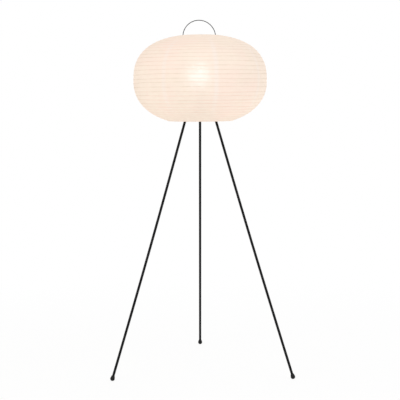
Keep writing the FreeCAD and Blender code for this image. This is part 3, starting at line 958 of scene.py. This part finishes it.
def hoop_tree(side: bpy.types.NodeTree, stray: bpy.types.NodeTree) -> bpy.types.NodeTree:
    """One hoop: a split strip with its edges planed off, wider than it is deep.

    Args:
        side: Group that gives the lantern's side curve.
        stray: Group that gives a hoop's stray.

    Returns:
        The tree.
    """
    tree, given = begin("bamboo hoop", [("Number", FLOAT, 1.0), ("Hoops", FLOAT, 30.0), ("Under Skin", FLOAT, 0.0007),
                                        ("Width", FLOAT, 0.0022), ("Depth", FLOAT, 0.0016),
                                        ("Steps Round", FLOAT, 160.0), ("Stray", FLOAT, 0.0038),
                                        ("Seed", FLOAT, 3.0), ("Material", STUFF, None)])
    corners = 10.0
    grid, across, along = lattice(tree, corners, given["Steps Round"])
    angle = add(tree, "MULTIPLY", along, TURN)
    spot, way = on_curve(tree, side, add(tree, "DIVIDE", given["Number"], add(tree, "ADD", given["Hoops"], 1.0)))
    bent = {name: given[name] for name in ("Number", "Hoops", "Stray", "Seed")}
    bend = add(tree, "GeometryNodeGroup", {"Angle": angle, **bent}, node_tree=stray)
    # the strip's section, rounded more on its inside than against the paper
    section = add(tree, "MULTIPLY", across, TURN)
    half = add(tree, "MULTIPLY", given["Width"], 0.5)
    level = add(tree, "MULTIPLY", add(tree, "COSINE", section), half)
    bulge = add(tree, "SINE", section)
    inside = add(tree, "MULTIPLY", add(tree, "MAXIMUM", bulge, 0.0), 0.7)
    outside = add(tree, "MULTIPLY_ADD", add(tree, "MINIMUM", bulge, 0.0), 0.3, 0.3)
    inwards = add(tree, "MULTIPLY_ADD", add(tree, "ADD", inside, outside), given["Depth"], given["Under Skin"])
    radius = add(tree, "MULTIPLY_ADD", inwards, way.outputs[2], spot.outputs[0])
    radius = add(tree, "MULTIPLY_ADD", level, way.outputs[0], radius)
    height = add(tree, "SUBTRACT", spot.outputs[2], add(tree, "MULTIPLY", inwards, way.outputs[0]))
    height = add(tree, "MULTIPLY_ADD", level, way.outputs[2], height)
    out, rise = slid(tree, bend.outputs["Outwards"], bend.outputs["Along"], way)
    point = ringed(tree, add(tree, "ADD", radius, out), angle, add(tree, "ADD", height, rise))
    shaped = add(tree, PLACE, grid, {"Position": point})
    finish_tree(tree, shaped, given["Material"])
    return tree


def thread_tree() -> bpy.types.NodeTree:
    """Wall with a rolled screw thread, open at both ends and as thick as its sheet metal.

    Returns:
        The tree.
    """
    tree, given = begin("screw thread", [("Radius", FLOAT, 0.013), ("Low", FLOAT, 1.09), ("High", FLOAT, 1.11),
                                         ("Pitch", FLOAT, 0.0036), ("Depth", FLOAT, 0.0008), ("Wall", FLOAT, 0.0004),
                                         ("Rows", FLOAT, 72.0), ("Steps Round", FLOAT, 64.0),
                                         ("Material", STUFF, None)])
    grid, across, along = lattice(tree, given["Rows"], given["Steps Round"])
    angle = add(tree, "MULTIPLY", along, TURN)
    # up the outside on the first half of the rows, and down the inside on the other
    fold = add(tree, "PINGPONG", add(tree, "MULTIPLY", across, 2.0), 1.0)
    inner = add(tree, "GREATER_THAN", across, 0.5)
    height = add(tree, MIX, fold, given["Low"], given["High"])
    climb = add(tree, "DIVIDE", add(tree, "SUBTRACT", height, given["Low"]), given["Pitch"])
    wave = add(tree, "COSINE", add(tree, "MULTIPLY", add(tree, "SUBTRACT", climb, along), TURN))
    # the thread runs out at both ends
    free = add(tree, "MINIMUM", add(tree, "SUBTRACT", height, given["Low"]),
               add(tree, "SUBTRACT", given["High"], height))
    fade = add(tree, RANGE, free, 0.0, add(tree, "MULTIPLY", given["Pitch"], 0.6), 0.0, 1.0)
    groove = add(tree, "MULTIPLY", add(tree, "MULTIPLY_ADD", wave, -0.5, 0.5), given["Depth"])
    radius = add(tree, "SUBTRACT", given["Radius"], add(tree, "MULTIPLY", groove, fade))
    radius = add(tree, "SUBTRACT", radius, add(tree, "MULTIPLY", inner, given["Wall"]))
    shaped = add(tree, PLACE, grid, {"Position": ringed(tree, radius, angle, height)})
    finish_tree(tree, shaped, given["Material"])
    return tree


@dataclass(frozen=True)
class Thread:
    """Sizes of a rolled thread, in millimetres, and how finely it is drawn."""

    radius: float
    pitch: float
    depth: float
    wall: float
    rows: int = 72
    steps: int = 64
    foot: float = 0.0               # plain part below it


def place_threaded(name: str, node: str, finish: Finish, body: str, thread: Thread) -> None:
    """Put a threaded wall in the place of a plain one, over its height.

    Args:
        name: Name of the piece.
        node: The node that it stands for.
        finish: What it is made of.
        body: The body that it moves with.
        thread: Sizes of its thread.
    """
    tree = bpy.data.node_groups.get("screw thread") or thread_tree()
    low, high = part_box(node)
    mesh = grow(name, tree, {
        "Radius": thread.radius * MM, "Low": low.z + thread.foot * MM, "High": high.z, "Pitch": thread.pitch * MM,
        "Depth": thread.depth * MM, "Wall": thread.wall * MM, "Rows": float(thread.rows),
        "Steps Round": float(thread.steps), "Material": finish.material()})
    place(name, mesh, finish, body, node)


def bead_tree() -> bpy.types.NodeTree:
    """A weld: overlapping scales laid one after the other round the foot of a bush.

    Returns:
        The tree.
    """
    tree, given = begin("weld bead", [("Radius", FLOAT, 0.0096), ("Stretch", FLOAT, 1.06), ("Scales", INT, 30),
                                      ("Size", FLOAT, 0.0015), ("Seed", INT, 4), ("Material", STUFF, None)])
    ring = add(tree, "GeometryNodeCurvePrimitiveCircle", {"Resolution": given["Scales"], "Radius": given["Radius"]})
    scale = add(tree, "GeometryNodeMeshIcoSphere", {"Radius": given["Size"], "Subdivisions": 2})
    # each scale lies flat and differs a little in size
    flat = add(tree, "GeometryNodeTransform", scale, {"Scale": (1.0, 0.8, 0.7)})
    vary = add(tree, "FunctionNodeRandomValue", {"Min": 0.85, "Max": 1.15, "Seed": given["Seed"]}, data_type="FLOAT")
    laid = add(tree, "GeometryNodeInstanceOnPoints", {"Points": ring, "Instance": flat, "Scale": vary})
    stretched = add(tree, "GeometryNodeTransform", laid, {"Scale": add(tree, JOIN, given["Stretch"], 1.0, 1.0)})
    finish_tree(tree, stretched, given["Material"], False)
    return tree


# ---------------------------------------------------------------- sub-assemblies
@dataclass
class LanternShade:
    """Paper skin, its hems round the two wire rings, and the bamboo hoops under it."""

    radius: float = 266.0
    middle: float = 1164.5
    rise: float = 181.3
    drop: float = 176.2
    upper_fullness: float = 2.5
    lower_fullness: float = 2.25
    top_mouth: float = 76.0
    bottom_mouth: float = 128.0
    hoops: int = 30
    stray_mm: float = 3.8
    dip_mm: float = 0.7
    ring_wire: float = 3.0
    hem_outside: float = 3.0        # how far a hem reaches from the mouth on the outside, and inside
    hem_inside: float = 9.0
    hem_lap: float = 0.2            # how far its outer edge lies over the sheet
    hem_clear: float = 1.9          # how far its turned-in edge stays off the sheet
    hem_pleat: float = 0.12
    hem_pleats: float = 47.0
    fold_axis: tuple[float, float, float] = (0.0, 0.0, 1.0)
    fold_keep: float = 0.2

    def build(self) -> None:
        """Make the skin, the hoops and the hems."""
        side = side_curve({
            "Radius": self.radius * MM, "Middle": self.middle * MM, "Rise": self.rise * MM, "Drop": self.drop * MM,
            "Upper Fullness": self.upper_fullness, "Lower Fullness": self.lower_fullness,
            "Top Mouth": self.top_mouth * MM, "Bottom Mouth": self.bottom_mouth * MM})
        stray = hoop_stray()
        rings = {name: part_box(name) for name in ("shade_top_ring", "shade_bottom_ring")}
        values = {"Hoops": float(self.hoops), "Stray": self.stray_mm * MM}
        mesh = grow("paper_skin_sheet", skin_tree(side, stray),
                    {**values, "Dip": self.dip_mm * MM, "Material": PAPER.material()})
        skin = place("paper_skin_sheet", mesh, PAPER, "lamp", "paper_skin")
        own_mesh(skin)
        tree = hoop_tree(side, stray)
        for number in range(1, self.hoops + 1):
            name = f"bamboo_hoop_{number:02d}"
            mesh = grow(name, tree, {**values, "Number": float(number), "Material": BAMBOO.material()})
            hoop = place(name, mesh, BAMBOO, f"rib_{number:02d}", f"bamboo_rib_{number:02d}")
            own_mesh(hoop)
        self.hem("upper_hem", rings["shade_top_ring"], True, "lamp")
        self.hem("lower_hem", rings["shade_bottom_ring"], False, "lower_ring")
        dress(WIRE, "shade_top_ring", "shade_bottom_ring")

    def on_side(self, upper: bool, radius: float, under: float = 0.0) -> tuple[float, float]:
        """Radius and height of a point of the side, or under it, in millimetres.

        Args:
            upper: Whether the point lies above the widest hoop.
            radius: Its radius.
            under: How far it lies inside the sheet.

        Returns:
            Its radius and its height.
        """
        fullness, reach = (self.upper_fullness, self.rise) if upper else (self.lower_fullness, -self.drop)
        share = radius / self.radius
        lift = (1.0 - share ** fullness) ** (1.0 / fullness)
        square = Vector((share ** (fullness - 1.0) / self.radius, lift ** (fullness - 1.0) / reach)).normalized()
        return (radius - under * square.x, self.middle + reach * lift - under * square.y)

    def hem(self, name: str, ring: tuple[Vector, Vector], upper: bool, body: str) -> None:
        """Paper that goes on from the skin round a wire ring and is pasted down inside.

        Args:
            name: Name of the piece.
            ring: Lowest and highest corner of the ring.
            upper: Whether this is the upper mouth.
            body: The body that it moves with.
        """
        low, high = ring[0] / MM, ring[1] / MM
        centre = (high.x - 0.5 * self.ring_wire, 0.5 * (low.z + high.z))
        mouth = self.top_mouth if upper else self.bottom_mouth
        edge = self.on_side(upper, mouth)
        around = math.hypot(edge[0] - centre[0], edge[1] - centre[1])
        start = math.degrees(math.atan2(edge[1] - centre[1], edge[0] - centre[0]))
        # outside, its edge laps a little over the end of the sheet
        profile = [self.on_side(upper, mouth + self.hem_outside * share, -self.hem_lap * lap)
                   for share, lap in ((1.3, 1.0), (1.07, 0.5), (0.67, 0.0), (0.33, 0.0))]
        profile += arc(centre, around, start, start + (180.0 if upper else -180.0), 14)
        # the turned-in paper nears the sheet again, clear of where the folded sheet lies
        gap = 2.0 * around - self.hem_clear
        steps = 4
        for step in range(1, steps + 1):
            share = step / steps
            under = self.hem_clear + gap * (1.0 - share) ** 2
            profile.append(self.on_side(upper, mouth + self.hem_inside * share, under))
        # small pleats at uneven steps, from the arc's start on and deeper towards the turned-in edge
        sides = 240
        turns = [TURN * i / sides for i in range(sides)]
        waves = [self.hem_pleat * math.sin(self.hem_pleats * t + 1.3 * math.sin(5.0 * t)) for t in turns]
        rows = [[Vector((radius * math.cos(t), radius * math.sin(t), height + wave * max(0.0, step - 5.0) / 15.0))
                 for t, wave in zip(turns, waves)] for step, (radius, height) in enumerate(profile)]
        mesh = shell(name, rows, True, False)
        # the skin's plan at the mouth's edge, half a bay from the nearest hoop
        plan = mesh.uv_layers.new(name="UVMap")
        level = (0.5 if upper else self.hoops + 0.5) / (self.hoops + 1.0)
        for loop in mesh.loops:
            spot = mesh.vertices[loop.vertex_index].co
            plan.data[loop.index].uv = ((math.atan2(spot.y, spot.x) / TURN) % 1.0, level)
        place(name, mesh, PAPER, body)


@dataclass
class WireStretcher:
    """The wire that carries the shade and goes on up as the handle, and its nuts."""

    wire: float = 3.0
    bend: float = 3.0               # radius of every bend's centre line
    sink: float = 2.8               # middle of the arch below the bends that lead into it
    reach: float = 2.5              # how far a shoulder reaches past the ring
    clearance: float = 8.0          # between the upright wire and the ring
    seat: float = 0.1               # between a shoulder and the ring on it
    foot: float = 1065.9            # height of the wire's ends
    lean: float = -3.6              # how far the hand-bent arch leans to one side at its crown

    def path(self) -> list[Vector]:
        """Draw the wire: up one side, round a shoulder, over the arch and down again.

        Returns:
            Its centre line from one end to the other, in millimetres.
        """
        low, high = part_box("shade_top_ring")
        ring_x, ring_z = high.x / MM - 0.5 * self.wire, 0.5 * (low.z + high.z) / MM
        offset = ring_x - self.wire - self.clearance
        shoulder = ring_z - self.wire - self.seat
        under = shoulder - 2.0 * self.bend
        tip, root = ring_x + 0.5 * self.wire + self.reach, offset + self.bend
        rise = [(offset, self.foot + (under - self.bend - self.foot) * i / 24) for i in range(24)]
        side = rise + arc((root, under - self.bend), self.bend, 180.0, 90.0)
        side += arc((tip, under + self.bend), self.bend, -90.0, 90.0, 12)
        meet = math.degrees(math.atan2(self.sink, root))
        side += arc((root, shoulder + self.bend), self.bend, -90.0, meet - 180.0)
        radius = math.hypot(self.sink, root) - self.bend
        centre = shoulder + self.bend - self.sink
        top = arc((0.0, centre), radius, meet, 180.0 - meet, 48)
        line = side + top[1:-1] + [(-x, z) for x, z in reversed(side)]
        height = centre + radius - self.foot
        return [Vector((x + self.lean * ((z - self.foot) / height) ** 2, 0.0, z)) for x, z in line]

    def build(self) -> None:
        """Make the wire and dress its nuts."""
        points = self.path()
        place("handle_wire", bar("handle_wire", points, [0.5 * self.wire] * len(points)), WIRE, "lamp",
              "stretcher_wire")
        place_eased("lamp", ("wire_nuts", "stretcher_nuts", 0.35, ZINC))


@dataclass
class Tripod:
    """Hub plate, the bushes welded under it, the three legs and their ball feet."""

    foot_circle: float = 407.0      # radius of the circle on which the feet stand
    line_height: float = 1215.6     # where the lines of the legs meet
    hub_height: float = 1070.0      # underside of the plate
    leg_radius: float = 5.0
    leg_ease: float = 0.8           # rounding of a leg's upper end
    bow: float = -3.5               # the slender legs stand bowed inwards a little
    bush_length: float = 26.0
    foot_radius: float = 9.0
    foot_flat: float = 0.5
    neck_length: float = 11.5
    neck_radius: float = 6.4
    leg_in_foot: float = 15.0
    lip: float = 0.8                # rounding of a neck's end
    lip_gap: float = 0.02           # between a neck's end and the leg
    lip_depth: float = 2.0

    def way(self, azimuth: float) -> Vector:
        """Give the direction of a leg.

        Args:
            azimuth: Its direction on the floor, in degrees from the +X side.

        Returns:
            The unit vector down the leg.
        """
        slope = self.foot_circle / (self.line_height - self.foot_radius + self.foot_flat)
        angle = math.radians(azimuth)
        return Vector((slope * math.cos(angle), slope * math.sin(angle), -1.0)).normalized()

    def on_leg(self, azimuth: float, height: float) -> Vector:
        """Point of a leg's straight line at a height, in millimetres."""
        way = self.way(azimuth)
        return UP * self.line_height + way * ((height - self.line_height) / way.z)

    def leg(self, name: str, azimuth: float) -> None:
        """One leg, from its bush into its foot, with a rounded upper end.

        Args:
            name: Name of the leg.
            azimuth: Its direction in degrees from the +X side.
        """
        way = self.way(azimuth)
        top = self.on_leg(azimuth, self.hub_height) + way * self.bush_length
        foot = self.on_leg(azimuth, self.foot_radius - self.foot_flat)
        end = foot - way * (self.neck_length - self.leg_in_foot)
        out = Vector((-way.x * way.z, -way.y * way.z, way.x ** 2 + way.y ** 2)).normalized()
        steps, ease = 60, self.leg_ease
        points = [top, top + way * 0.25 * ease, top + way * ease]
        points += [top.lerp(end, i / steps) + out * (self.bow * math.sin(math.pi * i / steps))
                   for i in range(1, steps + 1)]
        radii = [self.leg_radius - ease, self.leg_radius - 0.3 * ease] + [self.leg_radius] * (steps + 1)
        place(name + "_tube", bar(name, points, radii, 32), ENAMEL, "lamp", name)

    def foot(self, name: str, azimuth: float) -> None:
        """One ball foot on its neck, with a rolled lip round the leg and a flat where it stands.

        Args:
            name: Name of the foot.
            azimuth: Direction of its leg in degrees from the +X side.
        """
        way = self.way(azimuth)
        lean = math.degrees(math.atan2(self.neck_length, self.neck_radius))
        span = math.hypot(self.neck_length, self.neck_radius)
        touch = lean - math.degrees(math.acos(self.foot_radius / span))
        profile = arc((0.0, 0.0), self.foot_radius, -90.0, touch, 26)
        profile += arc((self.neck_radius - self.lip, self.neck_length - self.lip), self.lip, 10.0, 90.0, 5)
        inner, floor = self.leg_radius + self.lip_gap, self.neck_length - self.lip_depth
        profile += [(inner, self.neck_length), (inner, floor), (0.0, floor)]
        mesh = turned(name, profile, 48, False)
        middle = self.on_leg(azimuth, self.foot_radius - self.foot_flat) * MM
        turn = (-way).to_track_quat("Z", "Y").to_matrix().to_4x4()
        mesh.transform(Matrix.Translation(middle) @ turn)
        for corner in mesh.vertices:
            corner.co.z = max(corner.co.z, 0.0)
        place(name + "_ball", mesh, RUBBER, "lamp", name)

    def welds(self) -> None:
        """Weld each bush where it meets the plate."""
        tree = bead_tree()
        for name, azimuth in LEGS.items():
            way = self.way(azimuth)
            mesh = grow("weld_" + name, tree, {"Stretch": 1.0 / abs(way.z), "Material": POWDER.material()})
            turn = Matrix.Rotation(math.radians(azimuth), 4, "Z")
            spot = self.on_leg(azimuth, self.hub_height) * MM
            mesh.transform(Matrix.Translation(spot) @ turn)
            soften(mesh, 80.0)
            place("weld_" + name, mesh, POWDER, "lamp")

    def build(self) -> None:
        """Make the hub, the bushes, the legs and the feet."""
        place_eased("lamp", ("hub_plate_pressed", "hub_plate", 0.4, POWDER),
                    ("leg_bushes_turned", "leg_bushes", 0.6, POWDER))
        self.welds()
        dress(ZINC, "leg_studs")
        for name, azimuth in LEGS.items():
            self.leg("leg_" + name, azimuth)
            self.foot("foot_" + name, azimuth)


@dataclass
class Lampholder:
    """Threaded nipple with its fittings, and the lampholder that it carries."""

    radius: float = 20.0
    wall: float = 1.8
    grooves: int = 4
    groove_pitch: float = 3.2
    # corners of a groove: place along the side, and depth
    groove: tuple[tuple[float, float], ...] = ((-0.9, 0.0), (-0.7, 0.25), (0.0, 0.6), (0.7, 0.25), (0.9, 0.0))
    plain: float = 4.0              # between the last groove and the mouth
    ease: float = 0.4               # broken edge at the foot
    ledge_gap: float = 0.1          # between the insulator and the ledge over it

    def build(self) -> None:
        """Make the holder's shell, screw sleeve and nipple, and dress the rest."""
        place_threaded("screw_sleeve", "holder_sleeve", BRASS, "lamp",
                       Thread(radius=14.15, pitch=3.6, depth=0.7, wall=0.2))
        place_threaded("threaded_nipple", "cord_nipple", ZINC, "lamp",
                       Thread(radius=5.0, pitch=1.0, depth=0.4, wall=1.2, rows=260, steps=40))
        self.shell()
        place_eased("lamp", ("holder_base_moulded", "holder_base", 0.3, RESIN),
                    ("cord_bush_moulded", "cord_bush", 0.3, RESIN),
                    ("nipple_nut_turned", "nipple_nut", 0.4, ZINC),
                    ("nipple_washer_pressed", "nipple_washer", 0.2, ZINC),
                    ("insulator_fired", "holder_insulator", 0.4, CERAMIC),
                    ("contact_tongue", "holder_centre_contact", 0.1, BRASS))

    def shell(self) -> None:
        """Outer shell with grip grooves round its mouth and a rolled lip."""
        low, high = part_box("holder_shell")
        foot, mouth = low.z / MM, high.z / MM
        inner, roll = self.radius - self.wall, 0.5 * self.wall
        profile: Profile = [(inner, foot), (self.radius - self.ease, foot), (self.radius, foot + self.ease)]
        start = mouth - self.plain - self.grooves * self.groove_pitch
        for number in range(self.grooves):
            middle = start + self.groove_pitch * (number + 0.5)
            profile += [(self.radius - deep, middle + along) for along, deep in self.groove]
        profile += arc((self.radius - roll, mouth - roll), roll, 0.0, 180.0, 10)
        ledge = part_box("holder_insulator")[1].z / MM + self.ledge_gap
        profile += [(inner, ledge + self.wall), (inner - self.wall, ledge + self.wall), (inner - self.wall, ledge)]
        profile += [(inner, ledge)]
        place("holder_shell_moulded", turned("holder_shell", profile, 96), RESIN, "lamp", "holder_shell")


@dataclass
class Bulb:
    """Round opal bulb: glass, threaded cap, bead and tip, with stem and filament inside."""

    ball: float = 30.0
    shoulder: float = 40.0          # radius of the hollow curve between ball and neck
    wall: float = 0.9
    neck: float = 12.65
    cap: float = 13.2
    cap_hole: float = 9.1
    cap_foot: float = 2.5           # height of the cone under its thread
    cap_floor: float = 0.4          # thickness of that cone's metal

    def outline(self, inset: float, low: float, middle: float) -> Profile:
        """Side of the glass from the neck to the crown.

        Args:
            inset: How far it is drawn in.
            low: Height of the neck's end.
            middle: Height of the ball's middle.

        Returns:
            Its corners.
        """
        rise = math.sqrt((self.ball + self.shoulder) ** 2 - (self.neck + self.shoulder) ** 2)
        bend = (self.neck + self.shoulder, middle - rise)
        meet = math.degrees(math.atan2(-rise, self.neck + self.shoulder))
        points = [(self.neck - inset, low + inset)]
        points += arc(bend, self.shoulder + inset, 180.0, 180.0 + meet, 14)
        points += arc((0.0, middle), self.ball - inset, meet, 90.0, 36)[1:]
        return points[:-1] + [(0.0, points[-1][1])]

    def build(self) -> None:
        """Make the glass and the cap, and dress the rest."""
        foot, crown = [corner.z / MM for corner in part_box("bulb_glass")]
        middle = crown - self.ball
        outer = self.outline(0.0, foot, middle)
        inner = self.outline(self.wall, foot, middle)
        profile = [(0.0, foot)] + outer + inner[::-1] + [(0.0, foot + self.wall)]
        place("bulb_globe", turned("bulb_globe", profile, 96, False), OPAL, "bulb", "bulb_glass")
        place_threaded("bulb_cap_rolled", "bulb_cap", NICKEL, "bulb",
                       Thread(radius=self.cap, pitch=3.6, depth=0.8, wall=0.3, foot=self.cap_foot))
        foot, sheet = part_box("bulb_cap")[0].z / MM, self.cap_floor
        skirt = [(self.cap_hole, foot), (self.cap_hole + sheet, foot), (self.cap, foot + self.cap_foot),
                 (self.cap - sheet, foot + self.cap_foot + sheet), (self.cap_hole, foot + sheet)]
        place("bulb_cap_floor", turned("bulb_cap_floor", skirt, 64), NICKEL, "bulb")
        place_eased("bulb", ("bulb_bead_pressed", "bulb_bead", 0.2, BEAD),
                    ("bulb_tip_soldered", "bulb_tip", 0.4, SOLDER))
        dress(CLEAR, "bulb_stem")
        dress(TUNGSTEN, "bulb_filament")


@dataclass
class Studio:
    """Camera at the photograph's viewpoint, soft lamps, white floor and surround."""

    distance: float = 4.3802
    height: float = 1.1172
    turn: float = 0.01738           # how far the tripod is turned on the floor, in radians
    pitch: float = 0.09816
    pan: float = -0.00077
    roll: float = -0.00623
    lens: float = 98.28
    ambient: float = 0.55
    key: float = 56.0
    fill: float = 34.0
    bulb: float = 0.22
    bulb_spot: tuple[float, float, float] = (-0.003, 0.0, 1.1785)
    bulb_radius: float = 0.034
    softbox: float = 2.4            # side of each area lamp, in metres
    aim: float = 0.8                # height that the lamps face
    floor_half: float = 14.0        # half the floor's width, in metres
    floor_drop: float = 0.0002      # keeps the floor just under the feet
    floor_shade: float = 0.10       # share of the floor that takes light and shadow, near the lamp

    def camera(self) -> None:
        """Aim the camera as the photograph was taken."""
        data = bpy.data.cameras.new("camera")
        data.sensor_width, data.lens = 36.0, self.lens
        eye = put("camera", data)
        facing = self.pan + self.turn
        ahead = Vector((math.sin(facing) * math.cos(self.pitch), math.cos(facing) * math.cos(self.pitch),
                        -math.sin(self.pitch)))
        right = ahead.cross(UP).normalized()
        up = right.cross(ahead)
        across = right * math.cos(self.roll) + up * math.sin(self.roll)
        over = up * math.cos(self.roll) - right * math.sin(self.roll)
        turned_to = Matrix((across, over, -ahead)).transposed().to_4x4()
        spot = Vector((-self.distance * math.sin(self.turn), -self.distance * math.cos(self.turn), self.height))
        eye.matrix_world = Matrix.Translation(spot) @ turned_to
        bpy.context.scene.camera = eye

    def lamp(self, name: str, kind: str, spot: tuple[float, float, float], power: float, size: float,
             colour: str) -> bpy.types.Object:
        """Add one lamp that faces the shade.

        Args:
            name: Name of the lamp.
            kind: AREA or POINT.
            spot: Its place in metres.
            power: Its power in watts.
            size: Side of an area lamp, or radius of a point lamp.
            colour: Its sRGB hex colour.

        Returns:
            The lamp's object.
        """
        data = bpy.data.lights.new(name, kind)
        data.energy = power
        data.color = linear(colour)[:3]
        if kind == "AREA":
            data.size = size
        else:
            data.shadow_soft_size = size
        lit = put(name, data)
        lit.location = spot
        lit.rotation_euler = (Vector(spot) - UP * self.aim).to_track_quat("Z", "Y").to_euler()
        return lit

    def seen(self, tree: bpy.types.NodeTree) -> bpy.types.Node:
        """Tell which rays show the surround as white.

        Args:
            tree: The tree of a material or of the world.

        Returns:
            One for rays from the camera, a glossy surface or glass, else nought.
        """
        path = add(tree, "ShaderNodeLightPath")
        both = add(tree, "MAXIMUM", path.outputs["Is Camera Ray"], path.outputs["Is Glossy Ray"])
        return add(tree, "MAXIMUM", both, path.outputs["Is Transmission Ray"])

    def surround(self) -> None:
        """White to the eye, and a softer light on the lamp."""
        world = bpy.data.worlds.new("surround")
        tree = empty_tree(world)
        strength = add(tree, RANGE, self.seen(tree), 0.0, 1.0, self.ambient, 1.0)
        light = add(tree, "ShaderNodeBackground", linear("#ffffff"), strength)
        add(tree, "ShaderNodeOutputWorld", light)
        bpy.context.scene.world = world

    def floor(self) -> None:
        """A wide white floor that keeps the lamp's soft shadow."""
        form = bmesh.new()
        bmesh.ops.create_grid(form, x_segments=8, y_segments=8, size=self.floor_half)
        mesh = bpy.data.meshes.new("studio_floor")
        form.to_mesh(mesh)
        form.free()
        ground = put("studio_floor", mesh)
        ground.location.z = -self.floor_drop
        paint = bpy.data.materials.new("matt_white_floor_paint")
        tree = empty_tree(paint)
        tone = add(tree, NOISE, {"Vector": add(tree, "ShaderNodeTexCoord").outputs["Object"], "Scale": cells(400.0)})
        colour = add(tree, MIX, tone, linear("#fbfbfa"), linear("#f7f7f6"), data_type="RGBA")
        matt = add(tree, "ShaderNodeBsdfDiffuse", {"Color": colour})
        white = add(tree, "ShaderNodeEmission", {"Color": linear("#ffffff"), "Strength": 1.0})
        # the shaded share fades out between 0.6 and 2.2 m from the lamp, so no horizon shows
        away = add(tree, "ShaderNodeVectorMath", add(tree, "ShaderNodeTexCoord").outputs["Object"],
                   operation="LENGTH").outputs["Value"]
        plain = add(tree, RANGE, away, 0.6, 2.2, 1.0 - self.floor_shade, 1.0)
        share = add(tree, "MULTIPLY", self.seen(tree), plain)
        add(tree, "ShaderNodeOutputMaterial", add(tree, "ShaderNodeMixShader", share, matt, white))
        mesh.materials.append(paint)

    def light_bulb(self, *unlit: str) -> None:
        """Put the bulb's own light round its globe: a ball of light that camera and gloss don't show.

        Args:
            *unlit: Pieces in or near the ball of light, which it would burn out.
        """
        inside = self.lamp("bulb_light", "POINT", self.bulb_spot, self.bulb, self.bulb_radius, "#d8e6ff")
        inside.data.use_soft_falloff = False
        inside.visible_camera = False
        inside.visible_glossy = False
        spared = bpy.data.collections.new("spared_by_bulb_light")
        for name in unlit:
            spared.objects.link(bpy.data.objects[name])
        for entry in spared.collection_objects:
            entry.light_linking.link_state = "EXCLUDE"
        inside.light_linking.receiver_collection = spared

    def build(self) -> None:
        """Set up everything that is round the lamp."""
        bpy.context.scene.view_settings.view_transform = "Standard"
        self.camera()
        self.surround()
        self.floor()
        for name, spot, power, colour in (("key", (-2.2, -2.6, 3.0), self.key, "#fffdfa"),
                                          ("fill", (2.8, -1.6, 2.2), self.fill, "#fafcff"),
                                          ("back", (0.6, 3.0, 2.6), self.fill, "#ffffff")):
            self.lamp(name, "AREA", spot, power, self.softbox, colour)


def main() -> None:
    """Build the lamp in its studio and light its bulb."""
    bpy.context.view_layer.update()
    studio = Studio()
    for part in (studio, LanternShade(), WireStretcher(), Tripod(), Lampholder(), Bulb()):
        part.build()
        log.info("built %s", type(part).__name__)
    studio.light_bulb("bulb_globe", "bulb_cap_rolled")


if __name__ == "__main__":
    main()
